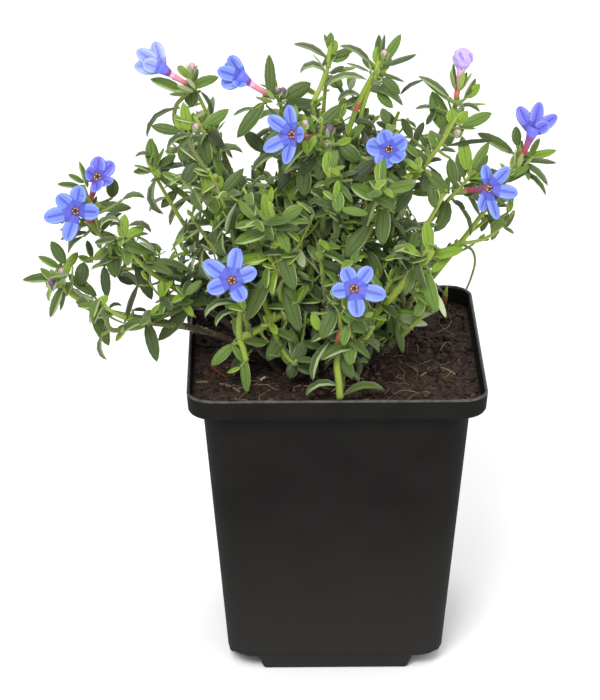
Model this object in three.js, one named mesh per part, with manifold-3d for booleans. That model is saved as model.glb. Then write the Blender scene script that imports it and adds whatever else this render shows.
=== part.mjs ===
// Potted lithodora: a low evergreen shrublet with arching leafy canes and starry blue
// blossoms, standing in a square thin-walled nursery pot filled with potting soil.
// Millimetres, +Z up. The origin is the centre of the pot's flat underside, and the front faces -Y.

import * as THREE from 'three';
import * as BufferGeometryUtils from 'three/addons/utils/BufferGeometryUtils.js';
import Module from 'manifold-3d';

const wasm = await Module();
wasm.setup();

// Driving dimensions of the pot, a square nursery pot 90 mm across its rim.
const pot = {
  height: 97,
  rimHalf: 45,
  rimCorner: 8,
  rimBand: 6.2,
  rimTaper: 0.4,
  shoulder: 1.2,
  neckHalf: 40.5,
  neckCorner: 11.5,
  baseHalf: 33,
  baseCorner: 8,
  wall: 1,
  floor: 1.4,
};

// The plus-shaped foot: its arms run out to the walls, and the four corners beside them are raised.
const foot = {
  half: 22.2,
  halfAbove: 24.2,
  rise: 4.2,
  armEndGap: 0.4,
  drainRadius: 2.2,
  drainAt: 27.6,
};

// Potting soil fills the pot to a little under the rim.
const soilTop = 91.6;
const contactGap = 0.3;

// How far a cutting shape runs past the face it cuts.
const overcut = { small: 0.5, medium: 2, large: 10 };

// The clump's centre at soil level, which the plant's bearings, reaches and rises are measured from:
// a bearing of 0 degrees points to +X and 90 to +Y.
const clump = new THREE.Vector3(-6, -1, 91.6);
const woodyCrown = {
  height: 8,
  baseRadius: 8.6,
  flareRadius: 7,
  flareHeight: 2.4,
  topRadius: 6.4,
  knots: 0.06,
  knotTurn: 2.6,
  sides: 12,
};

// Canes: foot and fork radii, and the share of its way at which a cane forks into leafy shoots.
const cane = { footRadius: 1.35, forkRadius: 0.95, fork: 0.28, sides: 5, steps: 3 };

// The two middle handles of a cane's curve, as shares of its reach and of its rise. A low cane
// swings out further before it rises.
const caneHandles = {
  firstReach: 0.3,
  firstRise: 0.4,
  firstLowRise: 0.5,
  secondReach: 0.8,
  secondRise: 0.62,
  secondLowRise: -0.3,
};

const shoot = {
  baseRadius: 0.85,
  tipRadius: 0.4,
  sides: 3,
  steps: 5,
  collar: 3,
  collarTop: 0.9,
  endElevation: 62,
};

// The handles of a shoot's curve: on along the cane, across to the tip, and back from the tip.
const shootHandles = { onward: 0.22, across: 0.14, back: 0.33 };

const twig = {
  pitch: 16,
  length: 15,
  shortest: 0.7,
  lengthRange: 0.6,
  baseRadius: 0.6,
  tipRadius: 0.35,
  steps: 2,
  spread: 48,
  turnRange: 40,
  middle: 0.55,
  reach: 0.9,
  lift: 0.28,
};
const rootRadius = 0.3;

// Leaves: narrow, arched and hairy, set in a spiral. They are drawn a little larger than life.
const leaf = {
  length: 15.5,
  width: 5.2,
  thickness: 0.8,
  pitch: 6.3,
  goldenAngle: 137.5,
  turnRange: 24,
  sink: 0.25,
  arch: 0.13,
  droop: 0.6,
  widest: 0.45,
  shortest: 0.85,
  lengthRange: 0.3,
  onTwigs: 0.8,
};

// Leaves stand more upright and stay shorter over the last part of a stem.
const leafSpread = { low: 68, tip: 34, range: 16 };
const leafTip = { from: 0.7, shorter: 0.35 };
const leavesStart = { onShoot: 0.12, onTwig: 0.45 };

// A leaf without room is tried again at these turns round the stem and shares of its size.
const leafSpacing = 1.7;
const leafTries = [[0, 1], [40, 1], [-40, 0.9], [80, 0.85], [-80, 0.75], [0, 0.65], [120, 0.6], [180, 0.55]];

// Every shoot's twigs and leaves are dealt out from seeds of their own.
const seeds = { twigs: 1000, shootLeaves: 2000, twigLeaves: 3000 };

// Points along a twig that are kept inside its mass's space, and those that keep leaves off it.
const twigSpace = { from: 0.15, steps: 8 };
const twigPlaced = { from: 0.3, steps: 6 };

// How far a mass keeps to its own side of the boundary with its neighbours, and off all canes.
const spaceMargin = 0.35;
const caneClearance = 0.9;
const soilClearance = 1;
const rimClearance = { inside: 3, outside: 2, above: 1.5 };

// Blossoms: five petals on a slim tube. Radii run from the stalk through the calyx to the throat.
const blossom = {
  tube: 11,
  petal: 7.6,
  petalWidth: 5,
  petalWidest: 0.62,
  petalThickness: 0.7,
  petalRoot: 0.6,
  narrowed: 0.72,
  bud: 6.5,
  budSink: 1,
  sides: 5,
};
const blossomRadii = { stalk: 0.5, calyx: 1.35, tube: 0.85, throat: 1.7 };
const blossomStations = [0, 0.4, 0.65, 1];
const budRadii = [1.2, 2.6, 2.4, 0.6];
const budStations = [0, 0.3, 0.7, 1];

// The part of a shoot that a blossom's stalk may spring from, and how far the stalk must run on.
const stalkFrom = { low: 0.4, high: 0.97, steps: 24, onward: 2, penalty: 3 };

const colour = {
  pot: 0x2d2c2b,
  soil: 0x2d201c,
  wood: 0x5d4a32,
  cane: 0x7d8c3a,
  foliage: [0x5b7437, 0x66803c, 0x4f6a35],
};

// One row for each cane: the radius and bearing of its foot, and the bearing, reach and rise of the
// tip of every shoot it forks into. A radius under the woody crown's top grows from the crown.
// A blossom row gives the bearing, reach and rise of its throat, the bearing and elevation that it
// faces, and how far it is open.
const open = 78;
const halfOpen = 38;
const closed = 0;
const canes = [
  {
    name: 'west_low',
    foot: [16, 196],
    shoots: [[190, 80, 33], [200, 69, 30]],
    blossoms: [],
  },
  {
    name: 'west',
    foot: [16, 176],
    shoots: [[183, 73, 53], [198, 61, 47]],
    blossoms: [[189, 74, 53, 257, 22, open], [183, 65, 62, 8, 75, halfOpen]],
  },
  {
    name: 'west_back',
    foot: [10.5, 158],
    shoots: [[166, 52, 59], [156, 52, 31]],
    blossoms: [],
  },
  {
    name: 'top_west',
    foot: [4.5, 195],
    shoots: [[172, 38, 89], [194, 37, 82]],
    blossoms: [[179, 46, 96, 185, 37, halfOpen]],
  },
  {
    name: 'mid_west',
    foot: [10.5, 202],
    shoots: [[210, 37, 69], [191, 38, 50]],
    blossoms: [],
  },
  {
    name: 'top_northwest',
    foot: [4.5, 150],
    shoots: [[167, 13, 87], [147, 27, 67]],
    blossoms: [[188, 23, 92, 184, 39, halfOpen]],
  },
  {
    name: 'front_west',
    foot: [10.5, 250],
    shoots: [[247, 36, 64], [257, 22, 54]],
    blossoms: [],
  },
  {
    name: 'top',
    foot: [0, 0],
    shoots: [[72, 13, 91], [250, 3, 84], [340, 8, 80]],
    blossoms: [],
  },
  {
    name: 'top_east',
    foot: [4.5, 12],
    shoots: [[3, 18, 91], [34, 31, 74]],
    blossoms: [],
  },
  {
    name: 'centre',
    foot: [4.5, 262],
    shoots: [[275, 17, 84], [278, 27, 72]],
    blossoms: [[252, 26, 82, 233, 22, open]],
  },
  {
    name: 'centre_east',
    foot: [4.5, 318],
    shoots: [[304, 35, 69], [342, 23, 74]],
    blossoms: [[317, 28, 75, 277, 38, open]],
  },
  {
    name: 'east_upper',
    foot: [10.5, 5],
    shoots: [[353, 42, 80], [14, 44, 78]],
    blossoms: [[12, 45, 91, 63, 70, closed]],
  },
  {
    name: 'east_far',
    foot: [16, 5],
    shoots: [[1, 62, 66], [7, 72, 60]],
    blossoms: [[1, 65, 75, 38, 63, halfOpen]],
  },
  {
    name: 'east',
    foot: [16, 345],
    shoots: [[349, 47, 62], [346, 60, 49]],
    blossoms: [[344, 54, 61, 309, 18, open]],
  },
  {
    name: 'east_front',
    foot: [10.5, 322],
    shoots: [[319, 44, 49], [336, 41, 59]],
    blossoms: [],
  },
  {
    name: 'east_low',
    foot: [16, 332],
    shoots: [[336, 36, 22], [320, 36, 14]],
    blossoms: [],
  },
  {
    name: 'front',
    foot: [25.5, 286],
    shoots: [[280, 36, 34], [296, 37, 24]],
    blossoms: [[285, 45, 41, 273, 32, open]],
  },
  {
    name: 'front_left',
    foot: [16, 228],
    shoots: [[227, 37, 35], [229, 43, 19]],
    blossoms: [[233, 44, 44, 270, 29, open]],
  },
  {
    name: 'front_centre',
    foot: [10.5, 285],
    shoots: [[272, 28, 50], [293, 27, 42]],
    blossoms: [],
  },
  {
    name: 'front_low_left',
    foot: [14, 246],
    shoots: [[240, 28, 22], [258, 30, 12]],
    blossoms: [],
  },
  {
    name: 'front_low_right',
    foot: [14, 304],
    shoots: [[304, 30, 18], [318, 30, 34]],
    blossoms: [],
  },
  {
    name: 'heart',
    foot: [4.5, 85],
    shoots: [[105, 18, 63], [64, 26, 57]],
    blossoms: [],
  },
  {
    name: 'back_east',
    foot: [10.5, 35],
    shoots: [[40, 50, 60], [24, 58, 48]],
    blossoms: [[38, 55, 64, 60, 40, open]],
  },
  {
    name: 'back_east_low',
    foot: [16, 55],
    shoots: [[60, 62, 34], [46, 58, 26]],
    blossoms: [],
  },
  {
    name: 'back',
    foot: [10.5, 88],
    shoots: [[80, 50, 62], [98, 42, 68]],
    blossoms: [[84, 55, 64, 90, 35, open]],
  },
  {
    name: 'back_west',
    foot: [10.5, 128],
    shoots: [[124, 52, 58], [140, 44, 66]],
    blossoms: [[128, 54, 62, 140, 45, halfOpen]],
  },
  {
    name: 'back_west_low',
    foot: [16, 115],
    shoots: [[110, 62, 34], [134, 60, 28]],
    blossoms: [[110, 68, 36, 105, 30, open]],
  },
];

// Small helpers for directions, seeded numbers and closed shapes.
const up = new THREE.Vector3(0, 0, 1);

function bearing(degrees) {
  const angle = THREE.MathUtils.degToRad(degrees);
  return new THREE.Vector3(Math.cos(angle), Math.sin(angle), 0);
}

function facing(degrees, elevation) {
  const angle = THREE.MathUtils.degToRad(elevation);
  return bearing(degrees).multiplyScalar(Math.cos(angle)).addScaledVector(up, Math.sin(angle));
}

function fromClump([degrees, reach, rise]) {
  return clump.clone().addScaledVector(bearing(degrees), reach).addScaledVector(up, rise);
}

function seededRandom(seed) {
  let state = seed >>> 0;
  return () => {
    state = (state + 0x6d2b79f5) >>> 0;
    let mixed = Math.imul(state ^ (state >>> 15), state | 1);
    mixed ^= mixed + Math.imul(mixed ^ (mixed >>> 7), mixed | 61);
    return ((mixed ^ (mixed >>> 14)) >>> 0) / 4294967296;
  };
}

function closedGeometry(points, faces) {
  const geometry = new THREE.BufferGeometry();
  geometry.setAttribute('position', new THREE.Float32BufferAttribute(points.flatMap((p) => p.toArray()), 3));
  geometry.setIndex(faces.flat());
  return geometry;
}

// Skins a stack of rings that run anticlockwise seen from the last ring, and caps both ends.
function loft(rings) {
  const count = rings[0].length;
  const faces = [];
  for (let level = 0; level + 1 < rings.length; level += 1) {
    for (let i = 0; i < count; i += 1) {
      const j = (i + 1) % count;
      const low = level * count;
      const high = low + count;
      faces.push([low + i, low + j, high + j], [low + i, high + j, high + i]);
    }
  }
  const last = (rings.length - 1) * count;
  for (let i = 1; i + 1 < count; i += 1) {
    faces.push([0, i + 1, i], [last, last + i, last + i + 1]);
  }
  return closedGeometry(rings.flat(), faces);
}

function toSolid(geometry) {
  const plain = geometry.clone();
  plain.deleteAttribute('normal');
  plain.deleteAttribute('uv');
  const merged = BufferGeometryUtils.mergeVertices(plain, 1e-5);
  return new wasm.Manifold(new wasm.Mesh({
    numProp: 3,
    vertProperties: new Float32Array(merged.attributes.position.array),
    triVerts: new Uint32Array(merged.index.array),
  }));
}

function joined(geometries) {
  return geometries.map(toSolid).reduce((all, solid) => all.add(solid));
}

// The vertex that each vertex belongs with, where faces share vertices.
function shellRoots(vertexCount, faces) {
  const parent = Array.from({ length: vertexCount }, (_, i) => i);
  const rootOf = (i) => {
    let at = i;
    while (parent[at] !== at) {
      parent[at] = parent[parent[at]];
      at = parent[at];
    }
    return at;
  };
  for (const [a, b, c] of faces) {
    parent[rootOf(a)] = rootOf(b);
    parent[rootOf(b)] = rootOf(c);
  }
  return rootOf;
}

// Keeps the faces of the one shell that encloses the most, which fills sealed hollows and drops
// loose scraps.
function largestShell(points, faces) {
  const rootOf = shellRoots(points.length, faces);
  const volumes = new Map();
  for (const [a, b, c] of faces) {
    const signed = points[a].dot(points[b].clone().cross(points[c])) / 6;
    volumes.set(rootOf(a), (volumes.get(rootOf(a)) ?? 0) + signed);
  }
  const largest = [...volumes].reduce((best, entry) => (entry[1] > best[1] ? entry : best))[0];
  return faces.filter(([a]) => rootOf(a) === largest);
}

// Draws together the ends of edges too short to matter, which cutting leaves where blades cross
// twigs. An edge is left alone where that would pinch the surface.
const shortestEdge = 0.01;
const edgePasses = 8;

function withoutShortEdges(points, faces) {
  let kept = faces;
  for (let pass = 0; pass < edgePasses; pass += 1) {
    const around = points.map(() => new Set());
    for (const [a, b, c] of kept) {
      around[a].add(b).add(c);
      around[b].add(a).add(c);
      around[c].add(a).add(b);
    }
    const moved = new Map();
    const touched = new Set();
    for (const [a, b, c] of kept) {
      for (const [from, to] of [[a, b], [b, c], [c, a]]) {
        const near = points[from].distanceTo(points[to]) < shortestEdge;
        const free = near && !touched.has(from) && !touched.has(to);
        const shared = free ? [...around[from]].filter((other) => around[to].has(other)) : [];
        if (shared.length === 2) {
          moved.set(from, to);
          for (const other of [from, to, ...around[from], ...around[to]]) touched.add(other);
        }
      }
    }
    if (moved.size === 0) break;
    kept = kept
      .map((face) => face.map((corner) => moved.get(corner) ?? corner))
      .filter(([a, b, c]) => a !== b && b !== c && c !== a);
  }
  return kept;
}

// Turns the long edge of a face that is almost a line, so that no face is flatter than this.
const flattestFace = 0.001;

function withoutFlatFaces(points, faces) {
  const kept = faces.map((face) => [...face]);
  const owner = new Map();
  const claim = (index) => {
    const [a, b, c] = kept[index];
    for (const [from, to] of [[a, b], [b, c], [c, a]]) owner.set(`${from} ${to}`, index);
  };
  kept.forEach((_, index) => claim(index));
  kept.forEach((face, index) => {
    const turns = [face, [face[1], face[2], face[0]], [face[2], face[0], face[1]]];
    const span = ([from, to]) => points[from].distanceTo(points[to]);
    const [a, b, c] = turns.reduce((best, turn) => (span(turn) > span(best) ? turn : best));
    const line = new THREE.Line3(points[a], points[b]);
    const nearest = line.closestPointToPoint(points[c], true, new THREE.Vector3());
    const beside = owner.get(`${b} ${a}`);
    const d = kept[beside].find((corner) => corner !== a && corner !== b);
    const flat = nearest.distanceTo(points[c]) <= flattestFace;
    if (!flat || owner.has(`${c} ${d}`) || owner.has(`${d} ${c}`)) return;
    owner.delete(`${a} ${b}`);
    owner.delete(`${b} ${a}`);
    kept[index] = [a, d, c];
    kept[beside] = [d, b, c];
    claim(index);
    claim(beside);
  });
  return kept;
}

function mainShell(solid) {
  const mesh = solid.getMesh();
  const points = Array.from(
    { length: mesh.vertProperties.length / 3 },
    (_, i) => new THREE.Vector3().fromArray(mesh.vertProperties, i * 3),
  );
  const faces = Array.from(
    { length: mesh.triVerts.length / 3 },
    (_, i) => [...mesh.triVerts.slice(i * 3, i * 3 + 3)],
  );
  const shell = largestShell(points, faces);
  return closedGeometry(points, withoutFlatFaces(points, withoutShortEdges(points, shell)));
}

// The pot: a tapering rounded square with a stepped-out rim, hollow, on a plus-shaped foot.
const cornerSteps = 3;
const drainSides = 8;

function roundedSquare(half, corner, z) {
  const ring = [];
  const centre = half - corner;
  for (let quarter = 0; quarter < 4; quarter += 1) {
    const signX = quarter === 0 || quarter === 3 ? 1 : -1;
    const signY = quarter < 2 ? 1 : -1;
    for (let step = 0; step <= cornerSteps; step += 1) {
      const angle = (quarter + step / cornerSteps) * Math.PI / 2;
      const x = signX * centre + corner * Math.cos(angle);
      const y = signY * centre + corner * Math.sin(angle);
      ring.push(new THREE.Vector3(x, y, z));
    }
  }
  return ring;
}

function squareRing(halfX, halfY, z, x = 0, y = 0) {
  return [[1, 1], [-1, 1], [-1, -1], [1, -1]]
    .map(([sx, sy]) => new THREE.Vector3(x + sx * halfX, y + sy * halfY, z));
}

const neckZ = pot.height - pot.rimBand - pot.shoulder;
const wallSlope = (pot.neckHalf - pot.baseHalf) / neckZ;
const halfAt = (z) => pot.baseHalf + wallSlope * z;

function potOutside() {
  return loft([
    roundedSquare(pot.baseHalf, pot.baseCorner, 0),
    roundedSquare(pot.neckHalf, pot.neckCorner, neckZ),
    roundedSquare(pot.rimHalf - pot.rimTaper, pot.rimCorner, pot.height - pot.rimBand),
    roundedSquare(pot.rimHalf, pot.rimCorner, pot.height),
  ]);
}

// The space inside the walls, drawn in by an inset. It dips into the foot's arms.
function potInside(inset) {
  const inwards = pot.wall + inset;
  const cornerFloor = foot.rise + pot.floor + inset;
  const armFloor = pot.floor + inset;
  const ledge = neckZ + pot.shoulder + pot.wall;
  const main = loft([
    roundedSquare(halfAt(cornerFloor) - inwards, pot.baseCorner - inwards, cornerFloor),
    roundedSquare(pot.neckHalf - inwards, pot.neckCorner - inwards, neckZ + pot.wall),
    roundedSquare(pot.rimHalf - pot.rimTaper - inwards, pot.rimCorner - inwards, ledge),
    roundedSquare(pot.rimHalf - inwards, pot.rimCorner - inwards, pot.height + pot.wall),
  ]);
  const armHalf = foot.half - inwards;
  const armEnd = halfAt(armFloor) - inwards - foot.armEndGap;
  const armTop = cornerFloor + overcut.small;
  const arms = [[armHalf, armEnd], [armEnd, armHalf]]
    .map(([halfX, halfY]) => loft([squareRing(halfX, halfY, armFloor), squareRing(halfX, halfY, armTop)]));
  return joined([main, ...arms]);
}

function raisedCorner(signX, signY) {
  const outer = pot.baseHalf + overcut.large;
  const slope = (foot.halfAbove - foot.half) / foot.rise;
  const block = (z) => {
    const inner = foot.half + slope * z;
    const half = (outer - inner) / 2;
    const middle = (outer + inner) / 2;
    return squareRing(half, half, z, signX * middle, signY * middle);
  };
  return loft([block(-overcut.medium), block(foot.rise)]);
}

function drainHole(signX, signY) {
  const hole = new THREE.CylinderGeometry(foot.drainRadius, foot.drainRadius, foot.rise * 3, drainSides);
  hole.rotateX(Math.PI / 2);
  hole.translate(signX * foot.drainAt, signY * foot.drainAt, foot.rise);
  return hole;
}

function buildPot() {
  let solid = toSolid(potOutside()).subtract(potInside(0));
  for (const signX of [-1, 1]) {
    for (const signY of [-1, 1]) {
      solid = solid.subtract(toSolid(raisedCorner(signX, signY)));
      solid = solid.subtract(toSolid(drainHole(signX, signY)));
    }
  }
  return mainShell(solid);
}

function buildSoil() {
  const reach = pot.rimHalf + overcut.large;
  const top = pot.height + overcut.large;
  const above = loft([squareRing(reach, reach, soilTop), squareRing(reach, reach, top)]);
  return mainShell(potInside(contactGap).subtract(toSolid(above)));
}

// A round tapering limb through a list of points. The side vector steadies the rings' turn.
function limb(points, radii, sides, side, flatFoot = false) {
  const rings = points.map((point, i) => {
    const before = points[Math.max(i - 1, 0)];
    const after = points[Math.min(i + 1, points.length - 1)];
    const along = flatFoot && i === 0 ? up.clone() : after.clone().sub(before).normalize();
    const across = side.clone().addScaledVector(along, -side.dot(along)).normalize();
    const third = along.clone().cross(across);
    return Array.from({ length: sides }, (_, k) => {
      const angle = (k / sides) * Math.PI * 2;
      return point.clone()
        .addScaledVector(across, radii[i] * Math.cos(angle))
        .addScaledVector(third, radii[i] * Math.sin(angle));
    });
  });
  return loft(rings);
}

function taper(from, to, steps) {
  return Array.from({ length: steps + 1 }, (_, i) => from + (to - from) * (i / steps));
}

function pointsAlong(curve, from, to, steps) {
  return taper(from, to, steps).map((t) => curve.getPoint(t));
}

function buildWoodyCrown() {
  const rings = [
    [soilTop + contactGap, woodyCrown.baseRadius],
    [soilTop + contactGap + woodyCrown.flareHeight, woodyCrown.flareRadius],
    [soilTop + woodyCrown.height, woodyCrown.topRadius],
  ].map(([z, radius]) => Array.from({ length: woodyCrown.sides }, (_, k) => {
    const knot = 1 + woodyCrown.knots * Math.sin(k * woodyCrown.knotTurn);
    const direction = bearing(k * 360 / woodyCrown.sides);
    return new THREE.Vector3(clump.x, clump.y, z).addScaledVector(direction, radius * knot);
  }));
  return loft(rings);
}

// A cane leaves its foot steeply. A low one flattens out over the rim and turns up at its end.
function caneCurve(row) {
  const [radius, degrees] = row.foot;
  const onCrown = radius < woodyCrown.topRadius;
  const start = clump.clone().addScaledVector(bearing(degrees), radius);
  start.z = soilTop + contactGap + (onCrown ? woodyCrown.height : 0);
  const end = row.shoots.map(fromClump).reduce((sum, tip) => sum.add(tip), new THREE.Vector3());
  end.divideScalar(row.shoots.length);
  const level = end.clone().sub(start);
  const rise = level.z;
  level.z = 0;
  const lowness = THREE.MathUtils.clamp(1 - rise / Math.max(level.length(), 1), 0, 1);
  const firstRise = caneHandles.firstRise + caneHandles.firstLowRise * lowness;
  const secondRise = caneHandles.secondRise + caneHandles.secondLowRise * lowness;
  const first = start.clone()
    .addScaledVector(level, caneHandles.firstReach)
    .addScaledVector(up, rise * firstRise);
  const second = start.clone()
    .addScaledVector(level, caneHandles.secondReach)
    .addScaledVector(up, rise * secondRise);
  return new THREE.CubicBezierCurve3(start, first, second, end);
}

// A level vector square to a direction, or +Y where the direction is all but upright.
const leastSide = 0.05;

function sideOf(direction) {
  const side = direction.clone().cross(up);
  return side.length() > leastSide ? side.normalize() : new THREE.Vector3(0, 1, 0);
}

function shootCurve(start, along, tipRow) {
  const tip = fromClump(tipRow);
  const span = tip.distanceTo(start);
  const across = tip.clone().sub(start);
  const end = facing(tipRow[0], shoot.endElevation);
  const first = start.clone()
    .addScaledVector(along, shootHandles.onward * span)
    .addScaledVector(across, shootHandles.across);
  const second = tip.clone().addScaledVector(end, -shootHandles.back * span);
  return new THREE.CubicBezierCurve3(start, first, second, tip);
}

// The lines that a plant is laid out on: every cane, its shoots, and the stalks of its blossoms.
function layOut(row, index) {
  const curve = caneCurve(row);
  const along = curve.getTangent(cane.fork).normalize();
  const forkAt = curve.getPoint(cane.fork);
  const stemStart = forkAt.clone().addScaledVector(along, contactGap);
  const shootStart = stemStart.clone().addScaledVector(along, shoot.collar / 2);
  const shoots = row.shoots.map((tipRow) => ({
    curve: shootCurve(shootStart, along, tipRow),
    side: sideOf(bearing(tipRow[0])),
  }));
  const blossoms = row.blossoms.map(([degrees, reach, rise, faceBearing, elevation, spread]) => {
    const throat = fromClump([degrees, reach, rise]);
    const out = facing(faceBearing, elevation);
    const calyx = throat.clone().addScaledVector(out, -blossom.tube);
    const { low, high, steps } = stalkFrom;
    const candidates = shoots.flatMap(({ curve: line }) => pointsAlong(line, low, high, steps));
    const stalkLength = (point) => {
      const stalk = calyx.clone().sub(point);
      return stalk.length() + Math.max(0, stalkFrom.onward - stalk.dot(out)) * stalkFrom.penalty;
    };
    const nearest = candidates.reduce((best, p) => (stalkLength(p) < stalkLength(best) ? p : best));
    return { throat, out, calyx, nearest, spread };
  });
  return { row, index, curve, along, stemStart, shootStart, shoots, blossoms };
}

const plant = canes.map(layOut);

// Every mass's space is all that lies nearer to its own lines than to those of its neighbours.
const lineStep = 1.5;
const narrowestSpread = 10;
const tubeSteps = 8;
const petalSteps = { from: 0.3, count: 3 };
const caneLineSteps = 30;

function ownLines(laid) {
  const points = [];
  for (const { curve } of laid.shoots) {
    points.push(...pointsAlong(curve, 0, 1, Math.ceil(curve.getLength() / lineStep)));
  }
  for (const { throat, out, calyx, nearest, spread } of laid.blossoms) {
    const stalk = new THREE.LineCurve3(nearest, calyx);
    points.push(...pointsAlong(stalk, 0, 1, Math.ceil(stalk.getLength() / lineStep) + 1));
    points.push(...pointsAlong(new THREE.LineCurve3(calyx, throat), 0, 1, tubeSteps));
    for (const { tip } of petalDirections(throat, out, spread)) {
      points.push(...pointsAlong(new THREE.LineCurve3(throat, tip), petalSteps.from, 1, petalSteps.count));
    }
  }
  return points;
}

function petalDirections(throat, out, spread) {
  const side = sideOf(out);
  const third = out.clone().cross(side);
  const angle = THREE.MathUtils.degToRad(Math.max(spread, narrowestSpread));
  return Array.from({ length: blossom.sides }, (_, k) => {
    const turn = (k + 0.5) * Math.PI * 2 / blossom.sides;
    const radial = side.clone().multiplyScalar(Math.sin(turn)).addScaledVector(third, Math.cos(turn));
    const along = out.clone().multiplyScalar(Math.cos(angle)).addScaledVector(radial, Math.sin(angle));
    const upper = out.clone().multiplyScalar(Math.sin(angle)).addScaledVector(radial, -Math.cos(angle));
    return { along, upper, tip: throat.clone().addScaledVector(along, blossom.petal) };
  });
}

const lines = plant.map(ownLines);
const caneLines = plant.flatMap(({ curve }) => pointsAlong(curve, 0, cane.fork, caneLineSteps));

function nearestDistance(point, points) {
  let best = Infinity;
  for (const other of points) {
    const distance = point.distanceToSquared(other);
    if (distance < best) best = distance;
  }
  return Math.sqrt(best);
}

function inOwnSpace(point, index) {
  if (nearestDistance(point, caneLines) < cane.footRadius + caneClearance) return false;
  if (point.z < soilTop + soilClearance) return false;
  const own = nearestDistance(point, lines[index]);
  return lines.every((other, i) => i === index || nearestDistance(point, other) > own + spaceMargin);
}

// The rim and the pot's walls also bound the plant: nothing passes through them.
function clearOfPot(point) {
  const reach = Math.max(Math.abs(point.x), Math.abs(point.y));
  return reach < pot.rimHalf - rimClearance.inside
    || reach > pot.rimHalf + rimClearance.outside
    || point.z > pot.height + rimClearance.above;
}

// A blade of six faces: a point at its root, a ridge and two edges at its widest, and a tip.
function bladeCorners({ root, along, upper, length, width, thickness, widest, arch, droop }) {
  const side = along.clone().cross(upper);
  const middle = root.clone().addScaledVector(along, length * widest).addScaledVector(upper, arch);
  return {
    base: root,
    tip: root.clone().addScaledVector(along, length).addScaledVector(upper, -droop),
    left: middle.clone().addScaledVector(side, -width / 2),
    right: middle.clone().addScaledVector(side, width / 2),
    ridge: middle.clone().addScaledVector(upper, thickness),
  };
}

function bladeGeometry({ base, tip, left, right, ridge }) {
  const points = [base, tip, left, right, ridge];
  return closedGeometry(points, [[0, 3, 4], [0, 4, 2], [0, 2, 3], [1, 4, 3], [1, 2, 4], [1, 3, 2]]);
}

// Points that stand for a blade when it is kept clear of others.
function bladeSamples({ base, tip, left, right, ridge }) {
  return [
    base.clone().lerp(ridge, 0.6),
    base.clone().lerp(left, 0.7),
    base.clone().lerp(right, 0.7),
    ridge,
    left,
    right,
    ridge.clone().lerp(tip, 0.33),
    ridge.clone().lerp(tip, 0.66),
    left.clone().lerp(tip, 0.5),
    right.clone().lerp(tip, 0.5),
    tip,
  ];
}

function leafCorners(frame, turn, spread, size) {
  const { point, axis, across, third } = frame;
  const angle = THREE.MathUtils.degToRad(turn);
  const radial = across.clone().multiplyScalar(Math.cos(angle)).addScaledVector(third, Math.sin(angle));
  const along = axis.clone().multiplyScalar(Math.cos(spread)).addScaledVector(radial, Math.sin(spread));
  const upper = axis.clone().multiplyScalar(Math.sin(spread)).addScaledVector(radial, -Math.cos(spread));
  return bladeCorners({
    root: point.clone().addScaledVector(along, -leaf.sink),
    along,
    upper,
    length: leaf.length * size,
    width: leaf.width * Math.sqrt(size),
    thickness: leaf.thickness,
    widest: leaf.widest,
    arch: leaf.length * size * leaf.arch,
    droop: leaf.length * size * leaf.arch * leaf.droop,
  });
}

function frameAt(curve, side, t) {
  const axis = curve.getTangent(t).normalize();
  const across = side.clone().addScaledVector(axis, -side.dot(axis)).normalize();
  return { point: curve.getPoint(t), axis, across, third: axis.clone().cross(across) };
}

// Sets leaves in a spiral along a stem, more upright and smaller towards its tip. A leaf that finds
// no room turns a little round the stem or stays smaller, and is left out if that doesn't help.
function spiralLeaves({ curve, side }, from, index, random, scale) {
  const blades = [];
  const count = Math.max(2, Math.round(curve.getLength() * (1 - from) / leaf.pitch));
  let turn = random() * 360;
  for (let k = 0; k <= count + 1; k += 1) {
    const t = from + (1 - from) * Math.min(1, k / count);
    const frame = frameAt(curve, side, t);
    turn += leaf.goldenAngle + (random() - 0.5) * leaf.turnRange;
    const nearTip = Math.max(0, (t - leafTip.from) / (1 - leafTip.from));
    const upright = THREE.MathUtils.lerp(leafSpread.low, leafSpread.tip, nearTip);
    const openness = upright + (random() - 0.5) * leafSpread.range;
    const size = scale * (leaf.shortest + leaf.lengthRange * random()) * (1 - leafTip.shorter * nearTip);
    for (const [shift, shrink] of leafTries) {
      const spread = THREE.MathUtils.degToRad(openness);
      const corners = leafCorners(frame, turn + shift, spread, size * shrink);
      const samples = bladeSamples(corners);
      const apart = samples.every((point) => nearestDistance(point, placed) > leafSpacing);
      if (apart && samples.every((point) => inOwnSpace(point, index) && clearOfPot(point))) {
        blades.push(bladeGeometry(corners));
        placed.push(...samples);
        break;
      }
    }
  }
  return blades;
}

// Side twigs leave a shoot at a steady pitch, each turned on by the golden angle.
function sideTwigs(curve, side, index, random) {
  const twigs = [];
  const count = Math.floor(curve.getLength() / twig.pitch);
  let turn = random() * 360;
  for (let k = 0; k < count; k += 1) {
    const t = (k + 0.6) / (count + 0.6);
    const { point: start, axis, across, third } = frameAt(curve, side, t);
    turn += leaf.goldenAngle + (random() - 0.5) * twig.turnRange;
    const angle = THREE.MathUtils.degToRad(turn);
    const radial = across.clone().multiplyScalar(Math.cos(angle)).addScaledVector(third, Math.sin(angle));
    const spread = THREE.MathUtils.degToRad(twig.spread);
    const out = axis.clone().multiplyScalar(Math.cos(spread)).addScaledVector(radial, Math.sin(spread));
    const length = twig.length * (twig.shortest + twig.lengthRange * random());
    const middle = start.clone().addScaledVector(out, length * twig.middle);
    const end = start.clone()
      .addScaledVector(out, length * twig.reach)
      .addScaledVector(up, length * twig.lift);
    const line = new THREE.QuadraticBezierCurve3(start, middle, end);
    const samples = pointsAlong(line, twigSpace.from, 1, twigSpace.steps);
    if (samples.every((point) => inOwnSpace(point, index) && clearOfPot(point))) {
      twigs.push({ curve: line, side: out.clone().cross(axis).normalize() });
    }
  }
  return twigs;
}

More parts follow.
